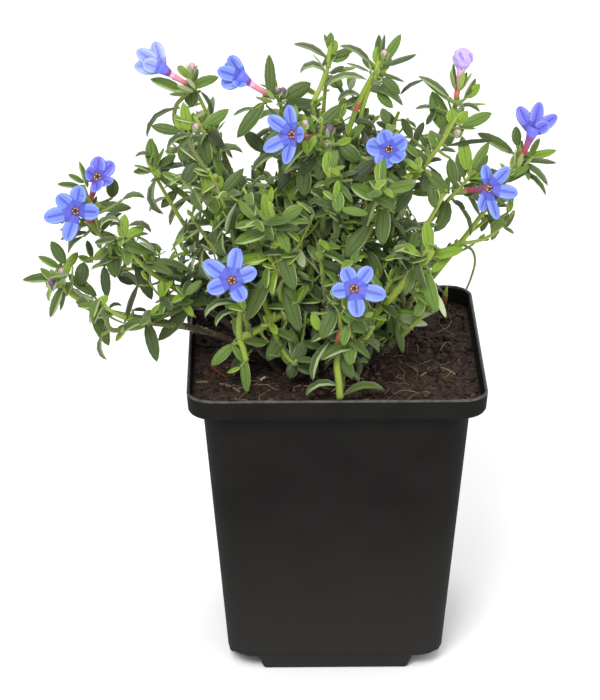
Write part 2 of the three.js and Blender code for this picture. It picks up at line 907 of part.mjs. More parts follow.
function budGeometry(throat, out) {
  const side = sideOf(out);
  const start = throat.clone().addScaledVector(out, -blossom.budSink);
  const at = (share) => start.clone().addScaledVector(out, blossom.bud * share);
  return limb(budStations.map(at), budRadii, blossom.sides, side);
}

function blossomGeometries({ throat, out, calyx, nearest, spread }) {
  const { stalk: thin, calyx: wide, tube, throat: mouth } = blossomRadii;
  const route = new THREE.QuadraticBezierCurve3(nearest, calyx, throat);
  const points = blossomStations.map((t) => route.getPoint(t));
  const pieces = [limb(points, [thin, wide, tube, mouth], blossom.sides, sideOf(out))];
  if (spread === closed) return [...pieces, budGeometry(throat, out)];
  const narrowed = spread === open ? 1 : blossom.narrowed;
  const { petalRoot } = blossom;
  for (const { along, upper } of petalDirections(throat, out, spread)) {
    pieces.push(bladeGeometry(bladeCorners({
      root: throat.clone().addScaledVector(along, petalRoot).addScaledVector(out, -petalRoot),
      along,
      upper,
      length: blossom.petal,
      width: blossom.petalWidth * narrowed,
      thickness: blossom.petalThickness,
      widest: blossom.petalWidest,
      arch: 0,
      droop: 0,
    })));
  }
  return pieces;
}

// Builds one mass: a collar above the cane's end, its shoots with their twigs and leaves, and its
// blossoms, all fused together. Points on everything placed so far keep new leaves apart.
const placed = [];

function buildMass(laid) {
  const { index, along, stemStart, shootStart, shoots } = laid;
  const collarEnd = shootStart.clone().addScaledVector(along, shoot.collar);
  const collarRadii = [cane.forkRadius, shoot.baseRadius * shoot.collarTop];
  const pieces = [limb([stemStart, collarEnd], collarRadii, cane.sides, shoots[0].side)];
  placed.push(...lines[index]);
  shoots.forEach(({ curve, side }, order) => {
    const radii = [rootRadius, ...taper(shoot.baseRadius, shoot.tipRadius, shoot.steps - 1)];
    pieces.push(limb(pointsAlong(curve, 0, 1, shoot.steps), radii, shoot.sides, side));
    const seed = index * 10 + order;
    for (const line of sideTwigs(curve, side, index, seededRandom(seeds.twigs + seed))) {
      placed.push(...pointsAlong(line.curve, twigPlaced.from, 1, twigPlaced.steps));
      const thin = [rootRadius, ...taper(twig.baseRadius, twig.tipRadius, twig.steps - 1)];
      pieces.push(limb(pointsAlong(line.curve, 0, 1, twig.steps), thin, shoot.sides, line.side));
      const random = seededRandom(seeds.twigLeaves + seed * 10 + pieces.length);
      pieces.push(...spiralLeaves(line, leavesStart.onTwig, index, random, leaf.onTwigs));
    }
    const random = seededRandom(seeds.shootLeaves + seed);
    pieces.push(...spiralLeaves({ curve, side }, leavesStart.onShoot, index, random, 1));
  });
  pieces.push(...laid.blossoms.flatMap(blossomGeometries));
  return mainShell(joined(pieces));
}

function buildCane({ curve, shoots }) {
  const radii = taper(cane.footRadius, cane.forkRadius, cane.steps);
  return limb(pointsAlong(curve, 0, cane.fork, cane.steps), radii, cane.sides, shoots[0].side, true);
}

function namedMesh(name, geometry, hex, roughness) {
  const material = new THREE.MeshStandardMaterial({ color: hex, roughness, metalness: 0 });
  const mesh = new THREE.Mesh(geometry, material);
  mesh.name = name;
  geometry.computeVertexNormals();
  return mesh;
}

const pottedLithodora = new THREE.Group();
const container = new THREE.Group();
container.add(namedMesh('pot', buildPot(), colour.pot, 0.55));
container.add(namedMesh('soil', buildSoil(), colour.soil, 0.95));

const shrub = new THREE.Group();
shrub.add(namedMesh('woody_crown', buildWoodyCrown(), colour.wood, 0.9));
plant.forEach((laid) => {
  const tint = colour.foliage[laid.index % colour.foliage.length];
  shrub.add(namedMesh(`cane_${laid.row.name}`, buildCane(laid), colour.cane, 0.8));
  shrub.add(namedMesh(`foliage_${laid.row.name}`, buildMass(laid), tint, 0.75));
});

pottedLithodora.add(container, shrub);

export default pottedLithodora;
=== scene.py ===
"""Looks of a potted lithodora: hairy leaves, green stems, blue blossoms, peat and a thin black pot.

Sizes are in millimetres, +Z up, the front faces -Y, and the origin is the centre of the pot's flat
underside. Meshes are scaled to metres as they are made.
"""

from __future__ import annotations

import logging
import math
from dataclasses import dataclass, field, replace
from enum import Enum, IntEnum
from itertools import product
from typing import Callable, Sequence

import bmesh
import bpy
import numpy as np
from mathutils import Matrix, Vector, noise
from mathutils.kdtree import KDTree

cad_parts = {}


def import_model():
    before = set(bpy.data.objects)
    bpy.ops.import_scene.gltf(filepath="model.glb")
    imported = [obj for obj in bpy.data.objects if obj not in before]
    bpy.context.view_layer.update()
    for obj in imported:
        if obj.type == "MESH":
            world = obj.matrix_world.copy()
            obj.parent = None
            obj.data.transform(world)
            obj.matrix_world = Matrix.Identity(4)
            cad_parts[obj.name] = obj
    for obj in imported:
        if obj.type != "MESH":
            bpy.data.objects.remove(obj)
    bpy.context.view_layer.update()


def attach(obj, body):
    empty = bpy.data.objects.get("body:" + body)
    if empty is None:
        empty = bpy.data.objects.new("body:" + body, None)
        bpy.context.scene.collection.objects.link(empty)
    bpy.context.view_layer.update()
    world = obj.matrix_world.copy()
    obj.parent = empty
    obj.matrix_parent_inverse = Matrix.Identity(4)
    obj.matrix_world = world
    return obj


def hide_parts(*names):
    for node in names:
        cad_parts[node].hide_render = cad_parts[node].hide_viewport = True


LOG = logging.getLogger("lithodora")
MM = 0.001
UP = Vector((0.0, 0.0, 1.0))
GOLDEN_TURN = 137.5

# The camera, fitted to the pot's corners in the photograph's frame, which is given in pixels.
PHOTO_WIDTH, PHOTO_HEIGHT = 600, 700
CAMERA_AZIMUTH = -0.783
CAMERA_ELEVATION = 23.493
CAMERA_DISTANCE = 950.0
CAMERA_AIM = Vector((-10.62, 0.0, 93.83))
CAMERA_LENS = 157.87
CAMERA_SENSOR = 36.0


@dataclass(frozen=True)
class PhotoView:
    """The photograph's pinhole view: pixels, depths and the directions of its frame."""

    focal: float = CAMERA_LENS / CAMERA_SENSOR * PHOTO_HEIGHT
    middle: tuple[float, float] = (PHOTO_WIDTH / 2, PHOTO_HEIGHT / 2)

    @property
    def back(self) -> Vector:
        """Returns the direction from the plant to the camera."""
        azimuth, elevation = math.radians(CAMERA_AZIMUTH), math.radians(CAMERA_ELEVATION)
        level = Vector((math.sin(azimuth), -math.cos(azimuth), 0.0)) * math.cos(elevation)
        return level + UP * math.sin(elevation)

    @property
    def right(self) -> Vector:
        """Returns the direction of the frame's right."""
        return Vector((-self.back.y, self.back.x, 0.0)).normalized()

    @property
    def up(self) -> Vector:
        """Returns the direction of the frame's top."""
        return self.back.cross(self.right)

    @property
    def eye(self) -> Vector:
        """Returns the camera's place."""
        return CAMERA_AIM + self.back * CAMERA_DISTANCE

    def depth(self, point: Vector) -> float:
        """Returns how far a point is from the camera along the view."""
        return (self.eye - point).dot(self.back)

    def pixel(self, point: Vector) -> tuple[float, float]:
        """Returns the pixel at which a point shows."""
        away = point - self.eye
        scale = self.focal / self.depth(point)
        return (
            self.middle[0] + away.dot(self.right) * scale,
            self.middle[1] - away.dot(self.up) * scale,
        )

    def at(self, pixel: Sequence[float], depth: float) -> Vector:
        """Returns the point that shows at a pixel and lies at a depth."""
        x = (pixel[0] - self.middle[0]) * depth / self.focal
        y = (self.middle[1] - pixel[1]) * depth / self.focal
        return self.eye + self.right * x + self.up * y - self.back * depth

    def on_level(self, pixel: Sequence[float], height: float) -> Vector:
        """Returns the point that shows at a pixel and lies at a height."""
        along = self.at(pixel, 1.0) - self.eye
        return self.eye + along * ((height - self.eye.z) / along.z)


# Directions, seeded numbers and curves, as the source of the solids has them.


def bearing(degrees: float) -> Vector:
    """Returns the level direction at a bearing, 0 towards +X and 90 towards +Y."""
    angle = math.radians(degrees)
    return Vector((math.cos(angle), math.sin(angle), 0.0))


def facing(degrees: float, elevation: float) -> Vector:
    """Returns the direction at a bearing and an elevation in degrees."""
    angle = math.radians(elevation)
    return bearing(degrees) * math.cos(angle) + UP * math.sin(angle)


def side_of(direction: Vector) -> Vector:
    """Returns a level vector square to a direction, or +Y where the direction is upright."""
    side = direction.cross(UP)
    return side.normalized() if side.length > 0.05 else Vector((0.0, 1.0, 0.0))


def turned_round(axis: Vector, across: Vector, angle: float) -> Vector:
    """Returns the direction square to an axis at an angle in radians from one across it."""
    return across * math.cos(angle) + axis.cross(across) * math.sin(angle)


def splayed(axis: Vector, radial: Vector, degrees: float) -> tuple[Vector, Vector]:
    """Returns a direction that leans out from an axis and the direction of its upper face.

    Args:
        axis: The direction of what carries it.
        radial: The direction square to the axis in which it leans.
        degrees: How far it leans out.
    """
    angle = math.radians(degrees)
    along = axis * math.cos(angle) + radial * math.sin(angle)
    return along, axis * math.sin(angle) - radial * math.cos(angle)


class Seeds(IntEnum):
    """Where the draws of each kind of thing start, before its own number is added."""

    TWIGS = 1000
    SHOOT_LEAVES = 2000
    TWIG_LEAVES = 3000
    TWIG_TIPS = 5000
    FINE_LEAVES = 5500
    FINE_TIPS = 5600
    SHOOT_TIPS = 6000
    TUFTS = 7000
    SHOOT_HAIRS = 8000
    TWIG_HAIRS = 8500
    RUN_HAIRS = 8900
    CALYCES = 9000
    PETALS = 9500
    BACK_BUDS = 9700
    BUD_CALYCES = 9800
    BACK_BUD_CALYCES = 9850
    CANE_FINE = 41000
    SHOOT_FINE = 43000
    TWIG_FINE = 61000
    CRUMBS = 411
    FIBRES = 877


def seeded(seed: int) -> Callable[[], float]:
    """Returns a function that draws the source's seeded numbers between 0 and 1.

    Args:
        seed: The whole number that the row of draws starts from.
    """
    state = seed & 0xFFFFFFFF

    def draw() -> float:
        """Returns the next number."""
        nonlocal state
        state = (state + 0x6D2B79F5) & 0xFFFFFFFF
        mixed = ((state ^ (state >> 15)) * (state | 1)) & 0xFFFFFFFF
        more = ((mixed ^ (mixed >> 7)) * (mixed | 61)) & 0xFFFFFFFF
        mixed ^= (mixed + more) & 0xFFFFFFFF
        return (mixed ^ (mixed >> 14)) / 4294967296

    return draw


@dataclass(frozen=True)
class Curve:
    """A Bezier curve through the first and last of its points."""

    points: tuple[Vector, ...]

    def at(self, t: float) -> Vector:
        """Returns the point at share t of the way."""
        level = list(self.points)
        while len(level) > 1:
            level = [a.lerp(b, t) for a, b in zip(level, level[1:])]
        return level[0]

    def tangent(self, t: float) -> Vector:
        """Returns the unit direction at share t of the way."""
        level = [b - a for a, b in zip(self.points, self.points[1:])]
        while len(level) > 1:
            level = [a.lerp(b, t) for a, b in zip(level, level[1:])]
        return level[0].normalized()

    def spaced(self, start: float, end: float, steps: int) -> list[Vector]:
        """Returns steps + 1 points between two shares of the way."""
        return [self.at(start + (end - start) * i / steps) for i in range(steps + 1)]

    def length(self) -> float:
        """Returns the curve's length."""
        points = self.spaced(0.0, 1.0, 200)
        return sum((b - a).length for a, b in zip(points, points[1:]))


def between(points: Sequence[Vector], k: int, t: float) -> Vector:
    """Returns the place at share t of the stretch after point k of a smooth line through points."""
    b, c = points[k], points[k + 1]
    a = points[k - 1] if k else b * 2 - c
    d = points[k + 2] if k + 2 < len(points) else c * 2 - b
    bow = (a * 2 - b * 5 + c * 4 - d) * t**2 + (b * 3 - a - c * 3 + d) * t**3
    return (b * 2 + (c - a) * t + bow) * 0.5


def smooth_line(points: Sequence[Vector], steps: int) -> list[Vector]:
    """Returns points of a smooth line through given ones, so many to a stretch."""
    line = [between(points, k, i / steps) for k in range(len(points) - 1) for i in range(steps)]
    return line + [points[-1].copy()]


@dataclass(frozen=True)
class TracedCurve(Curve):
    """A smooth curve through all of its points."""

    def at(self, t: float) -> Vector:
        """Returns the point at share t of the way."""
        last = len(self.points) - 1
        k = min(int(t * last), last - 1)
        return between(self.points, k, t * last - k)

    def tangent(self, t: float) -> Vector:
        """Returns the unit direction at share t of the way."""
        low, high = max(t - 0.01, 0.0), min(t + 0.01, 1.0)
        return (self.at(high) - self.at(low)).normalized()


@dataclass(frozen=True)
class StemFrame:
    """A point on a stem with the directions along it and across it."""

    point: Vector
    axis: Vector
    across: Vector

    def radial(self, degrees: float) -> Vector:
        """Returns the direction out of the stem at a turn round it."""
        return turned_round(self.axis, self.across, math.radians(degrees))


@dataclass(frozen=True)
class Stem:
    """A shoot or twig: its curve, the side that steadies it, its radii and its spray."""

    curve: Curve
    side: Vector
    base_radius: float
    tip_radius: float
    mass: int
    seed: int
    age: float = 0.0

    def frame(self, t: float) -> StemFrame:
        """Returns the stem's frame at share t of the way."""
        axis = self.curve.tangent(t)
        across = (self.side - axis * self.side.dot(axis)).normalized()
        return StemFrame(self.curve.at(t), axis, across)

    def radius(self, t: float) -> float:
        """Returns the stem's radius at share t of the way."""
        return self.base_radius + (self.tip_radius - self.base_radius) * t


# The plant's layout, which repeats the source's table and rule.


class Openness(Enum):
    """How far a blossom's petals stand out from its axis, in degrees."""

    CLOSED = 0
    HALF = 38
    OPEN = 78


@dataclass(frozen=True)
class CaneRow:
    """A cane's name, the radius and bearing of its foot, its shoot tips and its blossoms."""

    name: str
    foot: tuple[float, float]
    shoots: tuple[tuple[float, float, float], ...]
    blossoms: tuple[tuple[float, float, float, float, float, Openness], ...] = ()


OPEN, HALF, CLOSED = Openness.OPEN, Openness.HALF, Openness.CLOSED
CANES: tuple[CaneRow, ...] = (
    CaneRow("west_low", (16, 196), ((190, 80, 33), (200, 69, 30))),
    CaneRow("west", (16, 176), ((183, 73, 53), (198, 61, 47)),
            ((189, 74, 53, 257, 22, OPEN), (183, 65, 62, 8, 75, HALF))),
    CaneRow("west_back", (10.5, 158), ((166, 52, 59), (156, 52, 31))),
    CaneRow("top_west", (4.5, 195), ((172, 38, 89), (194, 37, 82)),
            ((179, 46, 96, 185, 37, HALF),)),
    CaneRow("mid_west", (10.5, 202), ((210, 37, 69), (191, 38, 50))),
    CaneRow("top_northwest", (4.5, 150), ((167, 13, 87), (147, 27, 67)),
            ((188, 23, 92, 184, 39, HALF),)),
    CaneRow("front_west", (10.5, 250), ((247, 36, 64), (257, 22, 54))),
    CaneRow("top", (0, 0), ((72, 13, 91), (250, 3, 84), (340, 8, 80))),
    CaneRow("top_east", (4.5, 12), ((3, 18, 91), (34, 31, 74))),
    CaneRow("centre", (4.5, 262), ((275, 17, 84), (278, 27, 72)), ((252, 26, 82, 233, 22, OPEN),)),
    CaneRow("centre_east", (4.5, 318), ((304, 35, 69), (342, 23, 74)),
            ((317, 28, 75, 277, 38, OPEN),)),
    CaneRow("east_upper", (10.5, 5), ((353, 42, 80), (14, 44, 78)),
            ((12, 45, 91, 63, 70, CLOSED),)),
    CaneRow("east_far", (16, 5), ((1, 62, 66), (7, 72, 60)), ((1, 65, 75, 38, 63, HALF),)),
    CaneRow("east", (16, 345), ((349, 47, 62), (346, 60, 49)), ((344, 54, 61, 309, 18, OPEN),)),
    CaneRow("east_front", (10.5, 322), ((319, 44, 49), (336, 41, 59))),
    CaneRow("east_low", (16, 332), ((336, 36, 22), (320, 36, 14))),
    CaneRow("front", (25.5, 286), ((280, 36, 34), (296, 37, 24)), ((285, 45, 41, 273, 32, OPEN),)),
    CaneRow("front_left", (16, 228), ((227, 37, 35), (229, 43, 19)),
            ((233, 44, 44, 270, 29, OPEN),)),
    CaneRow("front_centre", (10.5, 285), ((272, 28, 50), (293, 27, 42))),
    CaneRow("front_low_left", (14, 246), ((240, 28, 22), (258, 30, 12))),
    CaneRow("front_low_right", (14, 304), ((304, 30, 18), (318, 30, 34))),
    CaneRow("heart", (4.5, 85), ((105, 18, 63), (64, 26, 57))),
    CaneRow("back_east", (10.5, 35), ((40, 50, 60), (24, 58, 48)), ((38, 55, 64, 60, 40, OPEN),)),
    CaneRow("back_east_low", (16, 55), ((60, 62, 34), (46, 58, 26))),
    CaneRow("back", (10.5, 88), ((80, 50, 62), (98, 42, 68)), ((84, 55, 64, 90, 35, OPEN),)),
    CaneRow("back_west", (10.5, 128), ((124, 52, 58), (140, 44, 66)),
            ((128, 54, 62, 140, 45, HALF),)),
    CaneRow("back_west_low", (16, 115), ((110, 62, 34), (134, 60, 28)),
            ((110, 68, 36, 105, 30, OPEN),)),
)


@dataclass(frozen=True)
class BlossomPlan:
    """Where a blossom's mouth, calyx and stalk are, where it faces and how far it is open."""

    throat: Vector
    out: Vector
    calyx: Vector
    nearest: Vector
    spread: Openness
    mass: int


@dataclass(frozen=True)
class CanePlan:
    """One cane with its shoots and blossoms laid out."""

    row: CaneRow
    index: int
    curve: Curve
    stem_start: Vector
    collar_end: Vector
    shoots: tuple[Stem, ...]
    blossoms: tuple[BlossomPlan, ...]


@dataclass
class ShrubPlan:
    """Lays the shrub out by the source's rule and says which space is whose."""

    clump: Vector = field(default_factory=lambda: Vector((-6.0, -1.0, 91.6)))
    soil_top: float = 91.6
    contact_gap: float = 0.3
    crown_height: float = 8.0
    crown_radius: float = 6.4
    cane_foot_radius: float = 1.35
    cane_fork_radius: float = 0.95
    fork: float = 0.28
    shoot_radii: tuple[float, float] = (0.85, 0.4)
    end_elevation: float = 62.0
    collar: float = 3.0
    twig_pitch: float = 16.0
    twig_length: float = 15.0
    twig_radii: tuple[float, float] = (0.6, 0.35)
    twig_spread: float = 48.0
    space_margin: float = 0.35
    cane_clearance: float = 0.9
    rim_half: float = 45.0
    rim_height: float = 97.0
    tube: float = 11.0
    petal: float = 7.6
    line_step: float = 1.5
    view: PhotoView = field(default_factory=PhotoView)
    canes: list[CanePlan] = field(default_factory=list)

    def __post_init__(self) -> None:
        """Lays out every cane and the lines that divide the space between the masses."""
        self.canes = [self._lay_out(row, index) for index, row in enumerate(CANES)]
        self.own_trees = [self._tree(self._own_lines(plan)) for plan in self.canes]
        lines = [p for plan in self.canes for p in plan.curve.spaced(0.0, self.fork, 30)]
        self.cane_tree = self._tree(lines)

    def _tree(self, points: Sequence[Vector]) -> KDTree:
        """Returns a search tree over points."""
        tree = KDTree(len(points))
        for i, point in enumerate(points):
            tree.insert(point, i)
        tree.balance()
        return tree

    def from_clump(self, row: Sequence[float]) -> Vector:
        """Returns the place at a bearing, reach and rise from the clump's centre."""
        return self.clump + bearing(row[0]) * row[1] + UP * row[2]

    def _cane_curve(self, row: CaneRow) -> Curve:
        """Returns a cane's whole curve, of which the cane is the lower part."""
        radius, degrees = row.foot
        start = self.clump + bearing(degrees) * radius
        on_crown = self.crown_height if radius < self.crown_radius else 0.0
        start.z = self.soil_top + self.contact_gap + on_crown
        tips = [self.from_clump(tip) for tip in row.shoots]
        end = sum(tips, Vector()) / len(tips)
        level = end - start
        rise = level.z
        level.z = 0.0
        low = min(max(1.0 - rise / max(level.length, 1.0), 0.0), 1.0)
        first = start + level * 0.3 + UP * rise * (0.4 + 0.5 * low)
        second = start + level * 0.8 + UP * rise * (0.62 - 0.3 * low)
        return Curve((start, first, second, end))

    def _lay_out(self, row: CaneRow, index: int) -> CanePlan:
        """Returns one cane's plan.

        Args:
            row: The cane's row in the table.
            index: Its place in the table, which its seeds start from.
        """
        curve = self._cane_curve(row)
        along = curve.tangent(self.fork)
        stem_start = curve.at(self.fork) + along * self.contact_gap
        shoot_start = stem_start + along * self.collar / 2
        shoots = []
        for order, tip_row in enumerate(row.shoots):
            tip = self.from_clump(tip_row)
            span = (tip - shoot_start).length
            first = shoot_start + along * 0.22 * span + (tip - shoot_start) * 0.14
            second = tip - facing(tip_row[0], self.end_elevation) * 0.33 * span
            line = self._redrawn((row.name, order), Curve((shoot_start, first, second, tip)))
            side = side_of(bearing(tip_row[0]))
            shoots.append(Stem(line, side, *self.shoot_radii, index, index * 10 + order))
        blossoms = tuple(self._blossom(values, shoots, index) for values in row.blossoms)
        collar_end = shoot_start + along * self.collar
        return CanePlan(row, index, curve, stem_start, collar_end, tuple(shoots), blossoms)

    def _redrawn(self, shoot: tuple[str, int], line: Curve) -> Curve:
        """Returns a shoot's curve where the photograph shows it, at the depths of the rule's."""
        pixels = SEEN_SHOOTS.get(shoot)
        if not pixels:
            return line
        last = len(pixels)
        depths = [self.view.depth(line.at(k / last)) for k in range(1, last + 1)]
        return TracedCurve((line.at(0.0), *(self.view.at(p, d) for p, d in zip(pixels, depths))))

    def _blossom(self, values: Sequence, shoots: Sequence[Stem], index: int) -> BlossomPlan:
        """Returns a blossom's plan, with its stalk from the best place on a shoot."""
        throat = self.from_clump(values[:3])
        out = facing(values[3], values[4])
        calyx = throat - out * self.tube

        def stalk(point: Vector) -> float:
            """Returns how long a stalk is, with more for one that turns back."""
            run = calyx - point
            return run.length + max(0.0, 2.0 - run.dot(out)) * 3.0

        candidates = [p for stem in shoots for p in stem.curve.spaced(0.4, 0.97, 24)]
        nearest = min(candidates, key=stalk)
        return BlossomPlan(throat, out, calyx, nearest, values[5], index)

    def _own_lines(self, plan: CanePlan) -> list[Vector]:
        """Returns points on a mass's shoots and blossoms."""
        points: list[Vector] = []
        for stem in plan.shoots:
            steps = math.ceil(stem.curve.length() / self.line_step)
            points += stem.curve.spaced(0.0, 1.0, steps)
        for bloom in plan.blossoms:
            stalk = Curve((bloom.nearest, bloom.calyx))
            points += stalk.spaced(0.0, 1.0, math.ceil(stalk.length() / self.line_step) + 1)
            points += Curve((bloom.calyx, bloom.throat)).spaced(0.0, 1.0, 8)
            for along, _ in petal_directions(bloom):
                tip = bloom.throat + along * self.petal
                points += Curve((bloom.throat, tip)).spaced(0.3, 1.0, 3)
        return points

    def in_own_space(self, point: Vector, mass: int, margin: float | None = None) -> bool:
        """Says whether a point lies in its mass's own space and clear of all canes.

        Args:
            point: The point to test.
            mass: The index of its mass.
            margin: How much nearer it has to be to its own lines, by default the source's.
        """
        margin = self.space_margin if margin is None else margin
        if self.cane_tree.find(point)[2] < self.cane_foot_radius + self.cane_clearance:
            return False
        if point.z < self.soil_top + 1.0:
            return False
        reach = self.own_trees[mass].find(point)[2] + margin
        others = (tree for i, tree in enumerate(self.own_trees) if i != mass)
        return all(tree.find(point)[2] > reach for tree in others)

    def clear_of_pot(self, point: Vector) -> bool:
        """Says whether a point keeps off the pot's rim and walls."""
        reach = max(abs(point.x), abs(point.y))
        inside = reach < self.rim_half - 3.0
        outside = reach > self.rim_half + 2.0
        return inside or outside or point.z > self.rim_height + 1.5

    def side_twigs(self, stem: Stem) -> list[Stem]:
        """Returns the side twigs that the source sets on a shoot."""
        draw = seeded(Seeds.TWIGS + stem.seed)
        twigs = []
        count = math.floor(stem.curve.length() / self.twig_pitch)
        turn = draw() * 360
        for k in range(count):
            frame = stem.frame((k + 0.6) / (count + 0.6))
            turn += GOLDEN_TURN + (draw() - 0.5) * 40
            out, _ = splayed(frame.axis, frame.radial(turn), self.twig_spread)
            length = self.twig_length * (0.7 + 0.6 * draw())
            middle = frame.point + out * length * 0.55
            end = frame.point + out * length * 0.9 + UP * length * 0.28
            line = Curve((frame.point, middle, end))
            samples = line.spaced(0.15, 1.0, 8)
            if all(self.in_own_space(p, stem.mass) and self.clear_of_pot(p) for p in samples):
                side = out.cross(frame.axis).normalized()
                seed = stem.seed * 10 + k
                twigs.append(Stem(line, side, *self.twig_radii, stem.mass, seed, 0.45))
        return twigs


def petal_directions(bloom: BlossomPlan) -> list[tuple[Vector, Vector]]:
    """Returns the direction along each petal and that of its upper face."""
    side = side_of(bloom.out)
    third = bloom.out.cross(side)
    turns = [(k + 0.5) * math.tau / 5 for k in range(5)]
    radials = [side * math.sin(turn) + third * math.cos(turn) for turn in turns]
    return [splayed(bloom.out, radial, max(bloom.spread.value, 10)) for radial in radials]


# Meshes: small patterns made by mesh operators, and pieces joined from many copies of them.


@dataclass
class Pattern:
    """A small triangulated shape as arrays: its points, faces and a part number for each face."""

    points: np.ndarray
    faces: np.ndarray
    parts: np.ndarray

    @staticmethod
    def of(shape: bmesh.types.BMesh) -> "Pattern":
        """Returns a pattern of a bmesh, which it frees."""
        bmesh.ops.triangulate(shape, faces=shape.faces[:])
        shape.verts.index_update()
        points = np.array([v.co[:] for v in shape.verts], float)
        faces = np.array([[v.index for v in f.verts] for f in shape.faces], np.int32)
        parts = np.array([f.material_index for f in shape.faces], np.int32)
        shape.free()
        return Pattern(points, faces, parts)


def grid_shape(
    columns: int,
    rows: int,
    place: Callable[[float, float], Vector],
    part: Callable[[float, float], int],
    flip: bool = False,
) -> bmesh.types.BMesh:
    """Returns a grid whose points are placed by a function of two shares from 0 to 1.

    Args:
        columns: Faces across.
        rows: Faces along.
        place: Gives the place of a point from its shares across and along.
        part: Gives a face's part number from the shares of its middle.
        flip: Whether the faces look the other way.
    """
    shape = bmesh.new()
    bmesh.ops.create_grid(shape, x_segments=columns, y_segments=rows, size=0.5)
    for face in shape.faces:
        middle = face.calc_center_median()
        face.material_index = part(middle.x + 0.5, middle.y + 0.5)
        face.smooth = True
    for vert in shape.verts:
        vert.co = place(vert.co.x + 0.5, vert.co.y + 0.5)
    if flip:
        bmesh.ops.reverse_faces(shape, faces=shape.faces[:])
    return shape


def welded(shapes: Sequence[bmesh.types.BMesh], distance: float) -> bmesh.types.BMesh:
    """Returns one bmesh of several, with points that meet merged. It frees the others."""
    whole = shapes[0]
    for shape in shapes[1:]:
        mesh = bpy.data.meshes.new("weld")
        shape.to_mesh(mesh)
        shape.free()
        whole.from_mesh(mesh)
        bpy.data.meshes.remove(mesh)
    bmesh.ops.remove_doubles(whole, verts=whole.verts[:], dist=distance)
    return whole


def blend_stations(stations: Sequence[tuple[float, float]], at: float) -> float:
    """Returns the value at a share of the way, blended smoothly between stations."""
    for (a, low), (b, high) in zip(stations, stations[1:]):
        if at <= b:
            share = (at - a) / (b - a)
            return low + (high - low) * share * share * (3 - 2 * share)
    return stations[-1][1]


class JoinedPiece:
    """Joins many copies of patterns into the mesh of one piece."""

    def __init__(self) -> None:
        """Starts with nothing."""
        self.points: list[np.ndarray] = []
        self.faces: list[np.ndarray] = []
        self.slots: list[np.ndarray] = []
        self.count = 0

    def add(self, points: np.ndarray, faces: np.ndarray, slots: np.ndarray) -> None:
        """Adds a shape in millimetres, with a material slot for each of its faces."""
        self.points.append(points)
        self.faces.append(faces + self.count)
        self.slots.append(slots)
        self.count += len(points)

    def stamp(
        self, pattern: Pattern, axes: Sequence[Vector], at: Vector, slots: np.ndarray
    ) -> None:
        """Adds a copy of a pattern.

        Args:
            pattern: The shape to copy.
            axes: Where the pattern's X, Y and Z go, with its scale in them.
            at: Where its origin goes.
            slots: The material slot of each of the pattern's part numbers.
        """
        turned = pattern.points @ np.array([axis[:] for axis in axes]) + np.array(at[:])
        self.add(turned, pattern.faces, slots[pattern.parts])

    def make_parts(
        self, name: str, materials: Sequence[bpy.types.Material], most: int = 190_000
    ) -> list[bpy.types.Object]:
        """Returns the piece as numbered objects of up to a number of faces each."""
        parts = [JoinedPiece()]
        held = start = 0
        for points, faces, slots in zip(self.points, self.faces, self.slots):
            if held + len(faces) > most:
                parts.append(JoinedPiece())
                held = 0
            parts[-1].add(points, faces - start, slots)
            held += len(faces)
            start += len(points)
        return [part.make(f"{name}_{k}", materials) for k, part in enumerate(parts, 1)]

    def make(self, name: str, materials: Sequence[bpy.types.Material]) -> bpy.types.Object:
        """Returns the piece as an object with smooth faces.

        Args:
            name: The piece's name.
            materials: Its materials, in the order of the slot numbers.
        """
        points = np.concatenate(self.points) * MM
        faces = np.concatenate(self.faces)
        slots = np.concatenate(self.slots)
        mesh = bpy.data.meshes.new(name)
        mesh.vertices.add(len(points))
        mesh.vertices.foreach_set("co", points.astype(np.float32).ravel())
        mesh.loops.add(len(faces) * 3)
        mesh.loops.foreach_set("vertex_index", faces.astype(np.int32).ravel())
        mesh.polygons.add(len(faces))
        mesh.polygons.foreach_set("loop_start", np.arange(0, len(faces) * 3, 3, dtype=np.int32))
        mesh.polygons.foreach_set("material_index", slots.astype(np.int32))
        mesh.polygons.foreach_set("use_smooth", np.ones(len(faces), bool))
        for material in materials:
            mesh.materials.append(material)
        mesh.update(calc_edges=True)
        mesh.validate()
        return link(name, mesh)


def link(name: str, mesh: bpy.types.Mesh) -> bpy.types.Object:
    """Returns a new object of a mesh, linked to the scene."""
    made = bpy.data.objects.new(name, mesh)
    bpy.context.scene.collection.objects.link(made)
    return made


def piece_of(
    name: str, shape: bmesh.types.BMesh, materials: Sequence[bpy.types.Material]
) -> bpy.types.Object:
    """Returns the object of a bmesh in millimetres, which it frees."""
    bmesh.ops.scale(shape, vec=(MM, MM, MM), verts=shape.verts[:])
    mesh = bpy.data.meshes.new(name)
    shape.to_mesh(mesh)
    shape.free()
    for material in materials:
        mesh.materials.append(material)
    return link(name, mesh)


def tube_pattern(sides: int, steps: int) -> Pattern:
    """Returns a unit tube round Z, closed at both ends, whose Z runs from 0 to steps."""
    shape = bmesh.new()
    bmesh.ops.create_cone(
        shape, cap_ends=True, segments=sides, radius1=1.0, radius2=1.0, depth=float(steps)
    )
    bmesh.ops.translate(shape, vec=(0.0, 0.0, steps / 2), verts=shape.verts[:])
    for k in range(1, steps):
        bmesh.ops.bisect_plane(
            shape,
            geom=shape.verts[:] + shape.edges[:] + shape.faces[:],
            plane_co=(0.0, 0.0, float(k)),
            plane_no=(0.0, 0.0, 1.0),
        )
    for face in shape.faces:
        face.material_index = min(max(int(face.calc_center_median().z), 0), steps - 1)
    return Pattern.of(shape)


TUBES: dict[tuple[int, int], Pattern] = {}


